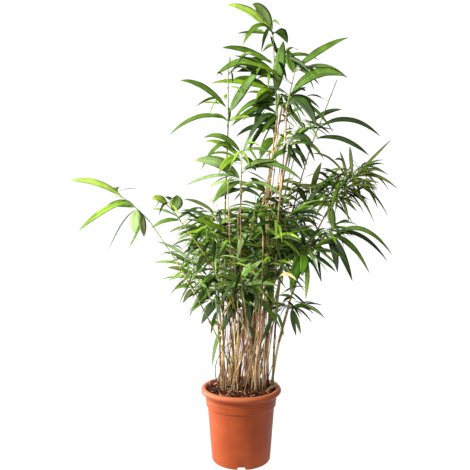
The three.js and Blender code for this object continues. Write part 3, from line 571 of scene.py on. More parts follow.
# A spray's row has these fields. It grows from a share (at) of the cane it is on. Its stem ends at x, y, z from
# there and rises by arch. Its twigs are about reach long with leaves each, about leaf long and slim times as wide.
# It draws its tints from a mix, and gets finer twigs, so many for each of the rule's. Own leaves, which stand out
# in the photograph, follow. Each is its place on the stem in percent, its tip's x, y, z from there, its arch and width,
# and tints has a letter for each.
FIELDS = ("on", "at", "stem", "arch", "twigs", "reach", "leaves", "leaf", "slim", "mix", "finer", "tints")
SPRAYS = dict(
    top=("main", 1, (-16, -10, 304), 4, 5, 45, 2, 150, 0.14, "outer", 0.9, "lugdggdgfdfggdgddg",
        (98, -163, -20, 89, 24, 32), (97, -74, -10, 98, 24, 42), (96, -108, -60, -62, 48, 29),
        (95, 42, -90, -62, 25, 44), (27, 24, -30, 176, 0, 42), (59, -186, -20, 56, 25, 28),
        (62, -168, 40, -32, 35, 20), (51, -208, -40, -22, 42, 30), (29, -238, 20, 35, 20, 35),
        (44, -90, -60, 0, 12, 35), (25, -75, -70, -35, 30, 24), (14, -138, -30, -35, 25, 28),
        (10, 196, -30, -90, 58, 19), (30, -80, -60, -62, 8, 26), (16, -150, -40, -62, 34, 22),
        (2, -105, -40, -92, 34, 28), (5, -93, -40, 17, 10, 18), (2, -55, -40, -71, 14, 26)),
    second_top=("second", 1, (31, 0, 138), 0, 3, 40, 2, 150, 0.14, "outer", 1.1, "gggd",
        (85, -18, 20, 90, 0, 38), (97, 180, -20, 102, 12, 29), (30, 180, -50, 52, 42, 42), (2, 94, -60, -82, 54, 40)),
    left_tall_top=("left_tall", 1, (0, 10, 208), 0, 3, 40, 2, 130, 0.13, "outer", 0.8, "ggggff",
        (18, 116, -40, 158, 8, 37), (25, -168, -20, 98, 26, 26), (8, -203, -40, -62, 38, 19), (95, 6, 10, 50, 0, 6),
        (5, -54, -30, 20, 8, 14), (5, 76, -30, 10, 10, 18)),
    right_thin_top=("grey", 1, (86, 0, 219), 0, 1, 35, 1, 70, 0.12, "outer", 0.0, "dd",
        (21, 215, -30, -35, 45, 25), (3, 188, -40, -65, 30, 28)),
    green_top=("green", 1, (3, 4, 154), 0, 4, 40, 2, 120, 0.12, "young", 1.0, "gfpfpgguudgdg",
        (93, -132, -20, 50, 28, 22), (80, -128, 20, 66, 20, 26), (33, -160, -40, 62, 22, 40),
        (75, -78, -60, -48, 26, 29), (40, -196, 10, -30, 20, 14), (95, -140, -30, -66, 60, 19),
        (50, 206, -40, -34, 44, 18), (20, 156, -60, -64, 36, 15), (55, 124, -30, 26, 14, 22),
        (10, -94, 30, -30, 12, 26), (97, 104, -30, -12, 14, 12), (85, 48, -23, -51, 8, 26),
        (30, -97, -11, -75, 14, 26)),
    far_left_tip=("far_left", 1, (-144, -10, 113), 12, 2, 30, 1, 70, 0.12, "bright", 0.0, "lgfpofdg",
        (60, -178, -30, 58, 22, 24), (33, -103, 10, 6, 12, 30), (50, -160, -40, -100, 18, 22),
        (30, 0, -30, -84, 4, 40), (25, 23, -40, -88, 2, 26), (10, -62, 20, -108, 6, 9), (30, -95, -20, -145, 26, 6),
        (80, -20, 110, 10, 20, 21)),
    second_left_tip=("second_left", 1, (-74, 0, 71), 10, 2, 35, 2, 80, 0.12, "young", 0.0, "lupg",
        (55, -50, -20, 21, 12, 29), (30, 11, -10, 54, 4, 43), (12, -84, -20, 26, 8, 10), (2, -92, -20, -27, 12, 18)),
    # centre_top's first own leaf takes the pale tint, partly as a painted highlight on a glossy leaf
    centre_top=("centre", 1, (25, -20, 230), 0, 7, 55, 3, 125, 0.12, "inner", 1.6, "pf",
        (65, -51, -67, -98, 40, 24), (70, 149, -66, -90, 30, 16)),
    front_fan=("front", 1, (0, -10, 35), 0, 4, 40, 2, 105, 0.13, "outer", 1.4, "uupuud",
        (85, -81, -42, 45, 10, 15), (60, -75, -54, 26, 10, 19), (80, 27, -42, 62, 2, 23), (90, 63, -51, 68, 5, 19),
        (30, 110, -67, 10, 14, 20), (50, 50, -45, -37, 8, 16)),
    right_bough=("right", 1, (103, 0, 130), 8, 8, 50, 3, 115, 0.105, "bough", 3.8, "ogoodogodoooogug",
        (97, 113, -20, 116, 1, 10), (93, 105, 20, 58, 15, 10), (90, 110, -20, 4, 23, 10),
        (80, 124, -20, -36, 41, 10), (75, 100, 20, -13, 33, 10), (65, 95, -20, -35, 37, 10),
        (55, 146, -20, -94, 49, 13), (50, 101, -30, -108, 41, 10), (40, 88, 10, -66, 29, 10),
        (70, -26, 10, 113, 7, 11), (85, -7, 10, 113, 7, 13), (75, -131, 10, 96, 33, 10), (60, -130, 0, -11, 16, 19),
        (45, -96, 10, 72, 21, 12), (15, -1, -50, -86, 0, 30), (35, 35, -20, -88, 21, 12)),
    thin_right_top=("thin_right", 1, (8, 10, 70), 0, 3, 40, 2, 125, 0.13, "inner", 1.6, "dgg",
        (75, 124, -60, -4, 12, 12), (40, 66, -60, 40, 8, 14), (10, 90, -50, -62, 26, 15)),
    reddish_top=("reddish", 1, (6, -4, 50), 0, 3, 40, 2, 120, 0.13, "inner", 1.6, "dgdggd",
        (95, 74, -50, -22, 22, 29), (60, 58, -40, 6, 6, 16), (30, 60, -50, -58, 20, 20),
        (20, -66, -50, -46, 16, 18), (95, 73, -36, 41, 10, 16), (10, 49, -30, -62, 10, 18)),
    back_tall_top=("back_tall", 1, (10, 30, 190), 0, 4, 60, 3, 160, 0.14, "inner", 1.6, "gdggddggd",
        (90, -60, 120, 60, 25, 35), (70, 40, 150, 10, 35, 33), (75, -184, -40, -92, 26, 24),
        (55, -42, -60, -78, 14, 31), (82, -96, -50, -100, 44, 33), (20, -160, -50, -34, 30, 22),
        (3, -70, -50, -74, 22, 25), (5, -70, -51, -95, 20, 24), (30, -92, -69, -22, 26, 29)),
    back_right_top=("back_right", 1, (50, 70, 210), 5, 7, 60, 3, 150, 0.14, "inner", 1.6, ""),
    back_left_top=("back_left", 1, (-25, 70, 200), 5, 7, 60, 3, 150, 0.14, "inner", 1.6, ""),
    back_centre_top=("back_centre", 1, (12, 70, 210), 5, 7, 55, 3, 145, 0.14, "inner", 1.6, ""),
    front_left_top=("front_left", 1, (-15, 20, 190), 0, 4, 50, 3, 110, 0.12, "inner", 0.4, "d",
        (5, -20, 3, -79, 8, 12)),
    front_right_top=("front_right", 1, (20, -30, 190), 0, 5, 50, 3, 110, 0.13, "inner", 0.5, "dg",
        (5, -46, 13, -94, 14, 13), (10, 25, -4, -76, 12, 11)),
    inner_left_top=("inner_left", 1, (-35, -35, 210), 0, 6, 55, 3, 115, 0.12, "inner", 0.9, ""),
    inner_back_top=("inner_back", 1, (25, 5, 210), 0, 7, 55, 3, 135, 0.14, "inner", 1.6, "gd",
        (97, -63, -27, 60, 12, 25), (90, 68, -27, 46, 12, 21)),
    inner_front_top=("inner_front", 1, (18, 10, 230), 0, 6, 55, 3, 115, 0.13, "inner", 0.8, "gu",
        (35, 30, -50, -95, 30, 33), (20, -25, -50, -90, 25, 22)),
    right_low=("right", 0.86, (60, -20, -5), 5, 4, 40, 2, 115, 0.115, "inner", 1.6, "gddgdgd",
        (90, 198, -21, -64, 55, 19), (95, 193, 30, -86, 48, 17), (80, 67, -33, -153, 25, 24),
        (70, 115, 15, -83, 22, 21), (60, 29, -37, -125, 12, 24), (85, 126, -12, -126, 34, 17),
        (30, 2, 7, -161, 5, 11)),
    right_droop=("right", 0.73, (-10, -60, 15), 5, 5, 45, 2, 125, 0.15, "inner", 1.6, "vvldd",
        (70, -60, -96, -120, 16, 37), (90, -22, -84, -70, 12, 32), (60, -8, -72, -146, 8, 17),
        (93, 48, -42, -93, 8, 9), (80, 98, -30, -61, 12, 17)),
    right_foot=("right", 0.43, (15, -40, 10), 0, 3, 35, 2, 95, 0.12, "inner", 1.6, "gdgd",
        (90, 40, -40, 5, 8, 16), (80, 10, -30, -90, 10, 16), (60, 28, -50, -80, 10, 16), (90, 105, -20, -30, 20, 15)),
    left_foot=("left_tall", 0.23, (-6, -30, 12), 0, 1, 30, 1, 80, 0.12, "young", 1.2, "gg",
        (70, -30, -60, -118, 8, 13), (90, -46, 20, 10, 10, 14)),
    far_left_mid=("far_left", 0.55, (-20, 90, 125), 5, 5, 40, 3, 110, 0.11, "light", 1.8, "pufupgo",
        (80, -127, 2, 74, 12, 11), (70, -101, -24, 50, 12, 11), (60, -141, 0, 25, 14, 10),
        (45, -91, -24, 29, 10, 15), (35, -90, 0, -2, 14, 12), (15, -72, -12, -4, 12, 17),
        (10, -41, -10, -39, 14, 19)),
    second_left_mid=("second_left", 0.6, (-45, 110, 180), 5, 9, 50, 3, 115, 0.11, "inner", 1.6, ""),
    left_tall_mid=("left_tall", 0.3, (-28, -45, 110), 0, 8, 45, 3, 110, 0.12, "inner", 1.6, "dd",
        (30, -63, -30, -75, 15, 28), (60, -88, -40, -60, 15, 26)),
    left_tall_high=("left_tall", 0.46, (-30, 50, 200), 0, 8, 50, 3, 130, 0.13, "outer", 1.4, "ug",
        (95, -111, -36, 48, 12, 14), (80, -73, -29, -2, 14, 24)),
    green_mid=("green", 0.56, (-20, -60, 190), 0, 7, 50, 3, 115, 0.12, "inner", 0.7, "f",
        (85, -123, -61, 50, 8, 19)),
    centre_mid=("centre", 0.62, (10, -30, 110), 0, 6, 45, 3, 105, 0.13, "inner", 0.6, "dgddd",
        (90, 18, -60, -110, 45, 33), (70, 120, -60, -95, 40, 22), (50, -70, -50, -90, 35, 26),
        (10, -24, -10, -104, 10, 15), (15, 49, -26, -95, 16, 13)),
    main_mid=("main", 0.44, (-15, 70, 200), 0, 7, 50, 3, 135, 0.13, "inner", 1.6, ""),
    second_mid=("second", 0.42, (45, -60, 200), 0, 8, 50, 3, 135, 0.14, "inner", 1.6, ""),
    reddish_mid=("reddish", 0.44, (60, 60, 170), 0, 7, 50, 3, 130, 0.14, "inner", 1.6, ""),
    grey_mid=("grey", 0.6, (90, 30, 150), 0, 8, 50, 3, 115, 0.12, "inner", 1.6, "ogd",
        (95, 33, -30, 117, 4, 21), (90, 75, -38, 59, 8, 16), (75, -39, -34, 54, 12, 23)),
)
SPRAYS = {name: SimpleNamespace(**dict(zip(FIELDS, row)), own=row[len(FIELDS):]) for name, row in SPRAYS.items()}

RULE = SimpleNamespace(
    seed_turn=40, twig_turn=137.5, jitter=(-25, 25), bare_stem=0.12, place=0.6, lift=(5, 50),
    twig_length=(0.7, 1.25), twig_arch=0.06, end_turn=(-12, 12), side_turn=(28, 62), fall=(-25, 55),
    leaf_length=(0.72, 1.2), side_length=0.85, leaf_width=(0.85, 1.2), leaf_step=0.3, leaf_arch=(0.06, 0.18),
    twist=(20, 75))
print(len(CULMS), "canes and", len(SPRAYS), "sprays")

# %% [markdown]
# ## Lines that bow
# A cane, twig or leaf sags or leans, so its line is a straight one pulled aside in its middle. A
# Bezier curve could be used, but one short formula is enough and the measured part has the same.

# %% Lines in space
CLEAR = 0.3  # millimetres between a cane's foot and the compost in the measured part


def bowed(start, offset, bow, t):
    """Points start + offset t + bow 4t(1 - t), which is a straight line pulled aside in its middle."""
    t = np.asarray(t, float)[..., None]
    return np.asarray(start) + np.asarray(offset) * t + np.asarray(bow) * (4 * t * (1 - t))


def columns(rows):
    """The starts, offsets and bows of many lines, each ready to be bowed to (lines, stations, 3)."""
    return [np.array([row[k] for row in rows])[:, None] for k in range(3)]


def cane_line(name):
    """A cane's foot, offset and bow in metres, and its radius at foot and tip."""
    row = np.array(CULMS[name]) * MM
    start = np.array([*row[:2], (SOIL_TOP + CLEAR) * MM])
    return start, row[2:5] - start, row[5:8], row[8:10]


print("the main cane starts at", cane_line("main")[0], "m")

# %% [markdown]
# ## Canes
# A bamboo cane is a run of hollow joints. At each node it swells a little, shows the scar of a fallen
# sheath and turns by a degree or two, so it is never quite straight. The rings stand close together
# at the nodes, where the radius changes, and far apart between them.

# %% Canes with nodes
CANE_SIDES = 10
NODE_STEP = 0.105  # metres from one node to the next
NODE_RINGS = np.array([-6, -3.2, -2, -1.1, -0.4, 0.4, 1.2, 2.2, 3.6, 6]) * MM
RING_STEP = 0.02  # metres between rings elsewhere
ROOTED = 0.012  # metres that a cane goes on under its foot
KINK = 0.0011  # metres by which nodes stand off the cane's line, to one side and the other in turn


def swelling(distance):
    """Radius factor at a distance from a node: a soft swelling and a thin ridge, the sheath's scar, under it."""
    return 1 + 0.2 * np.exp(-(distance / 0.0024) ** 2) + 0.16 * np.exp(-((distance + 0.0022) / 0.0008) ** 2)


def cane(line, rng):
    """A cane's rings, UV (round the cane, metres along it), distance to the nearest node, the shade of its joint,
    and each node's place, heading and radius. Nodes are even steps, each moved by up to a fifth of a step."""
    start, offset, bow, (thick, thin) = line
    length = np.linalg.norm(offset)
    count = max(2, round(length / NODE_STEP))
    nodes = (np.arange(count) + 0.35 + rng.uniform(-0.2, 0.2, count)) * length / count
    run = np.concatenate([np.arange(-ROOTED, length, RING_STEP), [length], (nodes[:, None] + NODE_RINGS).ravel()])
    run = np.unique(np.round(run[run <= length], 5))
    middle = bowed(start, offset, bow, run / length)
    kink = np.interp(run, nodes, KINK * (-1.0) ** np.arange(count))
    spin = rng.uniform(0, 2 * np.pi)
    middle = middle + kink[:, None] * np.array([math.cos(spin), math.sin(spin), 0])
    nearest = nodes[np.abs(run[:, None] - nodes).argmin(1)]
    radii = (thick + (thin - thick) * run / length) * swelling(run - nearest)
    shade = rng.uniform(-0.14, 0.14, count + 1)[np.searchsorted(nodes, run)]
    rings = sweep(middle[None], radii[None], CANE_SIDES)[0]
    uv = np.stack(np.broadcast_arrays(np.arange(CANE_SIDES) / CANE_SIDES, run[:, None]), -1)
    joint, shade = (np.broadcast_to(column[:, None], rings.shape[:2]) for column in (run - nearest, shade))
    share = nodes / length
    heading = unit(offset + bow * (4 * (1 - 2 * share))[:, None])
    return rings, uv, joint, shade, (bowed(start, offset, bow, share), heading, thick + (thin - thick) * share)


def stand(name, lines, tones, seed, finish):
    """One joined piece of many canes, each with its own foot and tip tone, and all their nodes."""
    parts, faces, knots, first = [], [], [], 0
    for number, (line, (low, high)) in enumerate(zip(lines, tones)):
        rings, uv, joint, shade, spots = cane(line, np.random.default_rng(seed + number))
        tone = np.linspace(low, high, len(rings))[:, None] + shade
        faces += [[first + k for k in f] for f in tube_faces(1, len(rings), CANE_SIDES)]
        first += joint.size
        parts.append([rings.reshape(-1, 3), uv.reshape(-1, 2), joint.ravel(), tone.ravel()])
        knots.append(spots)
    points, uvs, joints, tones = (np.concatenate(column) for column in zip(*parts))
    piece = make_piece(name, points, faces, finish, uvs, tone=tones, joint=joints)
    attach(piece, "root")
    return piece, [np.concatenate(column) for column in zip(*knots)]


print("cane maker ready")

# %% [markdown]
# ## The canes' finish
# Young canes are green and old ones straw coloured. Each could have a finish of its own, but here
# each takes its place on one colour ramp, so that all share one material. Fine fibres run along a
# cane, a pale waxy band lies under every node and a dark scar on it.

# %% Cane finish
bark = Finish("cane_skin", Specular_IOR_Level=0.25)
fibre = bark.noise("UV", (40, 6, 1), 3)
patch = bark.noise("Object", (28, 28, 12))
# the dark end of the ramp also serves as painted shade for canes and shoots at the back of the clump
tint = bark.toned(patch, 0.09, (0.0, "ecd7a4"), (0.14, "c6a068"), (0.32, "a37c54"), (0.46, "6e4230"),
                  (0.56, "b2a96e"), (0.7, "7c813a"), (0.84, "564a38"), (1.0, "160d09"))
tint = bark.blend(bark.spread(fibre, 0, 0.7, 0.45, 0.75), tint, "b08c6c", "MULTIPLY")
offset = bark.own("joint")
scar = bark.spread(bark.maths("ABSOLUTE", bark.maths("ADD", offset, 0.0018)), 0.85, 0.0, 0.0004, 0.0016)
wax = bark.maths("MULTIPLY", bark.spread(offset, 0, 0.4, -0.016, -0.004), bark.spread(offset, 1, 0, -0.004, -0.002))
# each cane is darker towards its foot, over its lowest six centimetres
foot_darkening = bark.spread(bark.axis("UV", "Y"), 0.75, 0, 0.005, 0.06)
for amount, code in ((wax, "ded3bb"), (scar, "5a3a26"), (foot_darkening, "3a2315")):
    tint = bark.blend(amount, tint, code)
bark.skin(Base_Color=tint, Roughness=bark.spread(patch, 0.36, 0.6), Normal=bark.bump(fibre, 0.0003))

# %% [markdown]
# ## The measured canes
# The canes could be an object each. They are one joined mesh, which stands for all their measured
# solids, because that is lighter to draw and nothing has to move one cane alone.

# %% The measured canes
canes, knots = stand("canes", [cane_line(name) for name in CULMS], [row[10:] for row in CULMS.values()], 100,
                     bark.material)
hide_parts(*["culm_" + name for name in CULMS])

# %% [markdown]
# ## Thin shoots
# Between the canes stand many thinner ones. Some are listed by foot x, y, tip x, y, z and radius: the
# tall ones that reach the upper leaves, and those that stand in front. The rest follow a rule. They
# start anywhere on the compost, lean to the right as the whole clump does, and end among the leaves.

# %% Shoots
LISTED_SHOOTS = [
    (44, 30, 150, 60, 1250, 3.4), (12, -2, 116, 6, 1130, 3.1), (58, 8, 136, -30, 1020, 3.1),
    (22, 42, 104, 40, 1080, 3.0), (70, -6, 142, 16, 1010, 2.8), (-20, 20, 88, -10, 900, 2.6),
    (-44, 40, 4, 30, 940, 2.4), (84, 30, 186, 20, 1000, 2.4), (30, 10, 124, -14, 1090, 2.8),
    (-10, 44, 112, 60, 1060, 2.8), (-18, -56, -11, -100, 845, 2.2), (30, -62, 81, -100, 845, 2.0),
    (-11, -60, -44, -170, 953, 2.2), (16, -62, -4, -170, 953, 2.2), (70, -50, 88, -120, 884, 2.2),
    (80, -30, 126, -120, 959, 2.4), (9, -66, 68, -150, 796, 1.9), (-55, -50, -54, -140, 700, 1.8),
    (-36, -64, -26, -150, 660, 1.7), (-14, -70, -28, -160, 720, 1.8), (46, -62, 64, -150, 660, 1.8),
    (62, -56, 80, -145, 720, 1.9)]
SHADE_DEPTH = 0.02  # metres behind the middle of the clump from which the shoots are painted dark, as painted shade
LEVEL = np.array([1, 1, 0])


def shoots(count, rng):
    """Lines of thin canes: foot on a disc, tip at 0.4 to 0.9 m, moved from the clump's leaning axis by the foot's
    own place and a little chance. Also the depth of each foot, which decides whether its tone is painted shade."""
    x, y = scatter(count, 0.092, rng)
    high = rng.uniform(0.4, 0.88, count)
    lean = 0.13 * (high - SOIL_TOP * MM)
    tip_x = x * rng.uniform(0.5, 1.3, count) + lean + rng.normal(0, 0.045, count)
    tip_y = y * rng.uniform(0.5, 1.3, count) + rng.normal(0, 0.04, count)
    thick = rng.uniform(0.0011, 0.0025, count)
    sag = rng.normal(0, 0.016, (count, 3)) * LEVEL
    start = np.stack([x, y, np.full(count, SOIL_TOP * MM)], -1)
    offset = np.stack([tip_x, tip_y, high], -1) - start
    return list(zip(start, offset, sag, np.stack([thick, thick * 0.6], -1))), y


rng = np.random.default_rng(31)
thin_lines, depth = shoots(40, rng)
for x, y, *tip, thick in LISTED_SHOOTS:
    start = np.array([x, y, SOIL_TOP]) * MM
    thin_lines.append((start, np.array(tip) * MM - start, rng.normal(0, 0.008, 3) * LEVEL,
                       (thick * MM * 0.8, thick * MM * 0.6)))
# shoots whose feet stand behind the clump's middle take the dark end of the ramp as painted shade; the rest take the
# usual tones
painted_shade_tones, fresh = (rng.choice(tones, len(depth)) for tones in ([0.85, 1.0, 1.0], [0.0, 0.04, 0.34, 0.45, 0.68, 0.93]))
thin_tones = [(low, low + 0.1) for low in np.where(depth > SHADE_DEPTH, painted_shade_tones, fresh)]
thin_tones += [(low, 0.16) for low in rng.choice([0.0, 0.1, 0.2, 0.35], len(LISTED_SHOOTS))]
_, thin_knots = stand("shoots", thin_lines, thin_tones, 200, bark.material)

# %% [markdown]
# ## Sheaths
# Each joint grew inside a papery sheath. On many nodes, most of them low down, the dry sheaths still
# hang on: they wrap the cane at its node, narrow upwards and stand off at the tip. Simulated cloth
# could make them, but a dry sheath is stiff, so each is a plain thin shell: an arc of a ring that
# spans less of the circle and stands further from the cane as it rises.

# %% Sheaths
SHEATH_STATIONS, SHEATH_COLUMNS, SHEATH_SKIN = 8, 8, 0.00035


def sheaths(spots, headings, radii, rng):
    """Closed shells: at height s the arc spans wrap (1 - 0.86 s^1.5) either way at radius r + flare s^2, with a
    slight wave, and the outer skin a little further out."""
    spots, headings, radii = spots[:, None, None], headings[:, None, None], radii[:, None, None]
    s = np.linspace(0, 1, SHEATH_STATIONS)[None, :, None]
    a = np.linspace(-1, 1, SHEATH_COLUMNS)
    a = np.concatenate([a, a[::-1]])[None, None, :]
    skin = np.repeat([SHEATH_SKIN, 0], SHEATH_COLUMNS)[None, None, :]
    length, wrap, flare, spin = (rng.uniform(low, high, len(spots))[:, None, None] for low, high in
                                 ((0.035, 0.085), (1.9, 2.9), (0.05, 0.6), (0, 2 * np.pi)))
    angle = spin + a * wrap * (1 - 0.86 * s ** 1.5)
    off = radii * 1.05 + 0.0004 + skin + radii * flare * s ** 2 + 0.0012 * np.sin(5 * a + 9 * s + spin) * s
    side = unit(np.cross(headings, BACK))
    over = np.cross(headings, side)
    outward = np.cos(angle)[..., None] * side + np.sin(angle)[..., None] * over
    shells = spots + (s * length)[..., None] * headings + off[..., None] * outward
    uv = np.stack(np.broadcast_arrays((a + 1) / 2, s, angle)[:2], -1)
    return shells, uv


rng = np.random.default_rng(21)
spots, headings, radii = (np.concatenate(pair) for pair in zip(knots, thin_knots))
chance = np.select([spots[:, 2] < 0.45, spots[:, 2] < 0.7], [0.5, 0.4], 0.2)
dressed = rng.uniform(0, 1, len(spots)) < chance
shells, shell_uv = sheaths(spots[dressed], headings[dressed], radii[dressed], rng)
print(len(shells), "sheaths on", len(spots), "nodes")

# %% [markdown]
# ## The sheaths' finish
# A dry sheath is straw coloured to brown, with fine fibres along it and blotches where it weathers.
# The fibres are noise drawn out along its own UV, so that they follow it whichever way it leans.

# %% Sheath finish
papery = Finish("dry_sheath", Roughness=0.7, Specular_IOR_Level=0.2)
fibre = papery.noise("UV", (26, 1.5, 1), 3)
blotch = papery.noise("Object", (70, 70, 30))
tint = papery.toned(blotch, 0.2, (0.0, "5f3826"), (0.35, "a66f4c"), (0.7, "d3aa80"), (1.0, "ecd9b8"))
tint = papery.blend(papery.spread(fibre, 0, 0.5, 0.45, 0.75), tint, "7c5238")
papery.skin(Base_Color=tint, Normal=papery.bump(fibre, 0.0005))
faces = shell_faces(len(shells), SHEATH_STATIONS, 2 * SHEATH_COLUMNS)
tone = np.repeat(rng.uniform(0, 1, len(shells)), shells[0, ..., 0].size)
wraps = make_piece("sheaths", shells, faces, papery.material, shell_uv, tone=tone)
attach(wraps, "root")

# %% [markdown]
# ## Twigs and leaves by rule
# A seeded rule places every twig and leaf, so the plant is the same on each run. Even numbers come
# from a small generator that any language can repeat, which is how this script lands on the same
# twigs as the measured solids. A second pass with finer twigs and leaves fills the sprays out.

# %% The seeded rule
SEATED = 0.6  # how far out of its cane's middle a side stem starts, as a share of the cane's radius


def dice(seed, factor=16807, wrap=2147483647):
    """Even numbers from 0 to 1: the state is multiplied by a factor and wrapped."""
    state = seed
    while True:
        state = state * factor % wrap
        yield state / wrap


def direction(turn, rise):
    """A level turn and a rise in radians as a direction."""
    return np.array([math.cos(turn) * math.cos(rise), math.sin(turn) * math.cos(rise), math.sin(rise)])


def stem_of(spray):
    """A stem's start, offset and bow: it leaves its cane's tip, or its side in the stem's own direction."""
    start, offset, bow, radius = cane_line(spray.on)
    stem, rise = np.array(spray.stem) * MM, UP * spray.arch * MM
    point = bowed(start, offset, bow, spray.at)
    if spray.at < 1:
        along = unit(offset + bow * 4 * (1 - 2 * spray.at))
        heading = unit(stem + rise * 4)
        out = unit(heading - heading.dot(along) * along)
        point = point + out * (radius[0] + (radius[1] - radius[0]) * spray.at) * SEATED
    return point, stem, rise


def growth(stem, seed, count, reach, leaves, leaf, slim):
    """The rule's twigs and leaves: each is (start, offset, bow), and a leaf adds its width and its blade's turn."""
    numbers = dice(seed)
    between = lambda pair: pair[0] + (pair[1] - pair[0]) * next(numbers)
    twigs, blades = [], []
    for i in range(count):
        share = RULE.bare_stem + (1 - RULE.bare_stem) * (i + RULE.place) / count
        turn = math.radians(i * RULE.twig_turn + between(RULE.jitter) + seed * RULE.seed_turn)
        lift = math.radians(between(RULE.lift))
        length = reach * MM * between(RULE.twig_length)
        twig = (bowed(*stem, share), direction(turn, lift) * length, UP * RULE.twig_arch * length)
        twigs.append(twig)
        for j in range(leaves):
            hand = 1 if j % 2 else -1
            spread = math.radians(between(RULE.end_turn) if j == 0 else hand * between(RULE.side_turn))
            fall = math.radians(between(RULE.fall))
            long = leaf * MM * between(RULE.leaf_length) * (1 if j == 0 else RULE.side_length)
            wide = long * slim * between(RULE.leaf_width)
            bow = UP * long * between(RULE.leaf_arch)
            root = bowed(*twig, 1 - RULE.leaf_step * j)
            blades.append((root, direction(turn + spread, -fall) * long, bow, wide, hand * between(RULE.twist)))
    return twigs, blades


print("rule ready")

# %% [markdown]
# ## Leaf tints
# Young leaves are yellow-green, old ones deep green, and some are dull or bronzed. Each spray has its
# own mix, and each leaf draws one plain tint from it, so that every tint is one joined mesh with one
# plain finish.

# %% Tints and their mixes
TINTS = dict(deep="2b440a", green="507212", dull="667f38", pale="88a65c", fresh="789a1c", lime="98ba3e", olive="505b15",
             vivid="527e10", dry="c8ad70")
LETTERS = dict(d="deep", g="green", u="dull", p="pale", f="fresh", l="lime", o="olive", v="vivid")
MIXES = dict(
    inner=dict(deep=0.42, green=0.3, dull=0.1, fresh=0.14, pale=0.02, lime=0.01, dry=0.01),
    light=dict(green=0.35, dull=0.2, pale=0.2, fresh=0.25),
    outer=dict(deep=0.3, green=0.45, dull=0.1, fresh=0.15),
    young=dict(green=0.35, fresh=0.45, lime=0.2),
    bright=dict(lime=0.75, fresh=0.25),
    bough=dict(deep=0.35, green=0.2, olive=0.4, fresh=0.05),
)
print(len(TINTS), "tints")

# %% [markdown]
# ## Growing the sprays
# Each spray has the leaves listed one by one, then the rule's twigs and leaves, then finer ones, which
# are kept only within the reach of the others. Geometry nodes could scatter leaves as well, but they
# wouldn't land on the measured ones.

# %% Growing every spray
FINE = SimpleNamespace(seed=100, reach=1.05, leaf=0.92, slim=0.9)  # finer twigs' seeds and sizes beside the rule's
BORDER = 0.012  # metres that a finer leaf may pass the rule's leaves by
SLENDER = 0.86  # real blades are narrower than the measured solids' few
ROLL = 14  # degrees that an own leaf may be turned by
twigs, leaves, own_leaves, stems = [], [], [], []
rng = np.random.default_rng(3)
for number, spray in enumerate(SPRAYS.values(), 1):
    stem = stem_of(spray)
    stems.append(stem)
    names, shares = list(MIXES[spray.mix]), np.array(list(MIXES[spray.mix].values()))
    own = [(bowed(*stem, place / 100), np.array(tip) * MM, UP * arch * MM, width * MM, rng.uniform(-ROLL, ROLL),
            LETTERS[letter]) for (place, *tip, arch, width), letter in zip(spray.own, spray.tints)]
    coarse, blades = growth(stem, number, spray.twigs, spray.reach, spray.leaves, spray.leaf, spray.slim)
    tips = np.array([start + offset for start, offset, *_ in blades + own])
    low, high = tips.min(0) - BORDER, tips.max(0) + BORDER
    finer, finer_blades = growth(stem, number + FINE.seed, round(spray.twigs * spray.finer), spray.reach * FINE.reach,
                                 spray.leaves + 1, spray.leaf * FINE.leaf, spray.slim * FINE.slim)
    kept = [b for b in finer_blades if np.all(b[0] + b[1] > low) and np.all(b[0] + b[1] < high)]
    twigs += coarse + finer
    leaves += [(*b[:3], b[3] * SLENDER, b[4], rng.choice(names, p=shares / shares.sum())) for b in blades + kept]
    own_leaves += own
print(len(stems), "stems", len(twigs), "twigs", len(leaves) + len(own_leaves), "leaves")

# %% [markdown]
# ## Stems and twigs
# A spray's stem carries on from its cane and thins out; its twigs are wiry and green to straw
# coloured, with small nodes. Both are tubes, swept along the same lines as the measured ones; a Skin
# modifier could join them smoothly, but the joints are hidden among the leaves.

# %% Stem and twig meshes
SIDE_STEM, STEM_END, TWIG = 0.0021, 0.0014, (0.0011, 0.0006)  # radii in metres; a twig's at its foot and its tip


def rods(lines, thick, thin, stations, sides, knots):
    """Tubes along bowed lines that thin evenly from thick to thin, with small swellings (knots) along them."""
    t = np.linspace(0, 1, stations)
    thick, thin = np.broadcast_to(thick, len(lines)), np.broadcast_to(thin, len(lines))
    radii = thick[:, None] + (thin - thick)[:, None] * t
    radii = radii * (1 + 0.22 * np.exp(-((t * knots % 1 - 0.5) / 0.09) ** 2))
    uv = np.stack(np.broadcast_arrays(np.arange(sides) / sides, t[:, None]), -1)
    return sweep(bowed(*columns(lines), t), radii, sides), np.broadcast_to(uv, (len(lines), stations, sides, 2))


green_wood = Finish("twig_skin", Roughness=0.5)
patch = green_wood.noise("Object", 45)
tint = green_wood.toned(patch, 0.2, (0.0, "4f7024"), (0.4, "7f8f3c"), (0.75, "a8985a"), (1.0, "8a5b3c"))
green_wood.skin(Base_Color=tint, Normal=green_wood.bump(patch, 0.0004))
starts = [cane_line(spray.on)[3][1] if spray.at == 1 else SIDE_STEM for spray in SPRAYS.values()]
rng = np.random.default_rng(8)
for name, (points, uv) in dict(stems=rods(stems, np.array(starts) * 1.15, STEM_END, 41, 8, 6),
                               twigs=rods(twigs, *TWIG, 7, 5, 2)).items():
    count, stations, sides = points.shape[:3]
    tone = np.repeat(rng.uniform(0, 0.55 if name == "stems" else 1, count), stations * sides)
    piece = make_piece(name, points, tube_faces(count, stations, sides), green_wood.material, uv, tone=tone)
    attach(piece, "root")
    if name == "stems":
        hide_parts(*["leaves_" + spray for spray in SPRAYS])

# %% [markdown]
# ## Leaf blades
# A bamboo leaf has a short stalk, is widest near its middle and runs out to a long fine point. It
# folds a little along its midrib, twists, and hangs under its own weight. Each blade is a thin closed
# lens: eight points round its section, carried along the leaf's line.

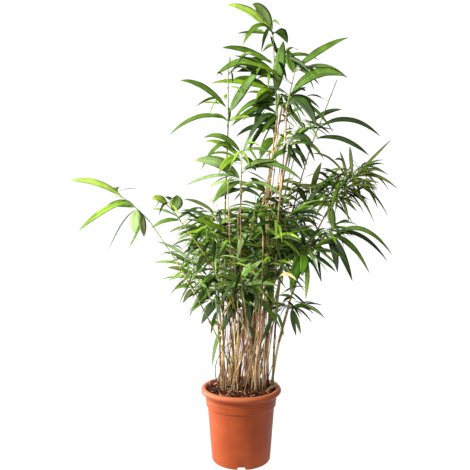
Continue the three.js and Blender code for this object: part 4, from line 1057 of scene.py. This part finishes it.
# %% Blade shape
STALK = 0.05  # share of a leaf's length
TAPER = (0.7, 0.85)  # powers that shape a blade towards its stalk and towards its point
FACING = np.array([0.0, -0.85, 0.5])  # where the upper side of a spray's own leaf faces
SECTION_X = np.array([1, 0.5, 0, -0.5, -1, -0.52, 0, 0.52])
SECTION_FOLD = np.array([1, 0.36, 0, 0.36, 1, 0.36, 0, 0.36])
SECTION_SKIN = np.array([0, -0.6, -1.3, -0.6, 0, 0.6, 0.9, 0.6])


def blade_width(t):
    """Share of the full width at t along the leaf: s^0.7 (1 - s)^0.85 after the stalk, scaled to 1 at its widest."""
    s = np.clip((t - STALK) / (1 - STALK), 0, 1)
    widest = TAPER[0] / sum(TAPER)
    return s ** TAPER[0] * (1 - s) ** TAPER[1] / (widest ** TAPER[0] * (1 - widest) ** TAPER[1])


def blades(rows, stations, up, rng):
    """Closed blades of leaves (start, offset, bow, width, turn) whose upper sides face up before their turn: rings
    of eight points, and their UV."""
    start, offset, bow = columns(rows)
    width, turn = (np.array([row[k] for row in rows])[:, None] for k in (3, 4))
    count = len(rows)
    t = np.linspace(0, 1, stations) ** 1.15
    length = np.linalg.norm(offset, axis=-1)
    sway = rng.normal(0, 0.03, (count, 1)) * length * np.sin(np.pi * t)
    lines = bowed(start, offset, bow, t) + sway[..., None] * unit(np.cross(offset, UP))
    side, over = frames(lines, up)
    turn = np.radians(turn + rng.uniform(-28, 28, (count, 1)) * (t - 0.4))[..., None]
    across = np.cos(turn) * side + np.sin(turn) * over
    upward = -(np.cos(turn) * over - np.sin(turn) * side)
    half = np.maximum(width * blade_width(t) / 2, 0.0005)
    fold = half * rng.uniform(0.04, 0.26, (count, 1))
    ripple = 0.035 * half * np.sin(rng.uniform(14, 26, (count, 1)) * t + rng.uniform(0, 6, (count, 1)))
    thick = 0.0003 * (1 - 0.7 * t)
    x = half[..., None] * SECTION_X
    y = (fold + ripple)[..., None] * SECTION_FOLD + thick[:, None] * SECTION_SKIN
    rings = lines[:, :, None] + x[..., None] * across[:, :, None] + y[..., None] * upward[:, :, None]
    uv = np.stack(np.broadcast_arrays((SECTION_X + 1) / 2, t[:, None]), -1)
    return rings, np.broadcast_to(uv, (count, stations, 8, 2))


print("width at the middle", round(float(blade_width(np.array(0.5))), 2))

# %% [markdown]
# ## Leaf finish
# Each tint is one base colour, broken by soft clouds, fine parallel veins, a pale midrib and a satin
# gloss from the waxy skin, which fades where a blade is seen edge on. The veins follow the blade
# because they are drawn on its own UV.

# %% Leaf finishes and meshes
def leaf_finish(name, code):
    """A satin leaf of one tint: clouds, veins across u, a pale midrib at u = 0.5 and a drier tip."""
    made = Finish("leaf_" + name)
    darker = colour(code, 0.62)
    cloud = made.noise("Object", 26)
    vein = made.noise("UV", (34, 1.2, 1), 2)
    rib = made.maths("ABSOLUTE", made.maths("SUBTRACT", made.axis("UV", "X"), 0.5))
    rib = made.spread(rib, 0.55, 0.0, 0.01, 0.05)
    tone = made.blend(made.spread(cloud, 0, 1, 0.3, 0.7), darker, colour(code, 1.35, 0.01))
    tone = made.blend(made.spread(vein, 0, 0.45, 0.45, 0.75), tone, darker)
    tone = made.blend(rib, tone, colour(code, 1.9, 0.03))
    tone = made.blend(made.spread(made.axis("UV", "Y"), 0, 0.5, 0.93, 1.0), tone, "a08a4e")
    height = made.maths("ADD", vein, made.maths("MULTIPLY", rib, 1.5))
    edge_on = made.add("LayerWeight", Blend=0.5).outputs["Facing"]
    made.skin(Base_Color=tone, Roughness=made.spread(cloud, 0.42, 0.58),
              Specular_IOR_Level=made.spread(edge_on, 0.32, 0, 0.35, 0.75), Normal=made.bump(height, 0.0003, 0.6))
    return made.material


rng = np.random.default_rng(17)
for tint, code in TINTS.items():
    finish = leaf_finish(tint, code)
    for kind, rows, stations, up in (("long", own_leaves, 17, FACING), ("small", leaves, 10, UP)):
        rows = [row for row in rows if row[5] == tint]
        if rows:
            rings, uv = blades(rows, stations, up, rng)
            piece = make_piece(f"leaves_{kind}_{tint}", rings, shell_faces(len(rows), stations, 8), finish, uv)
            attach(piece, "root")
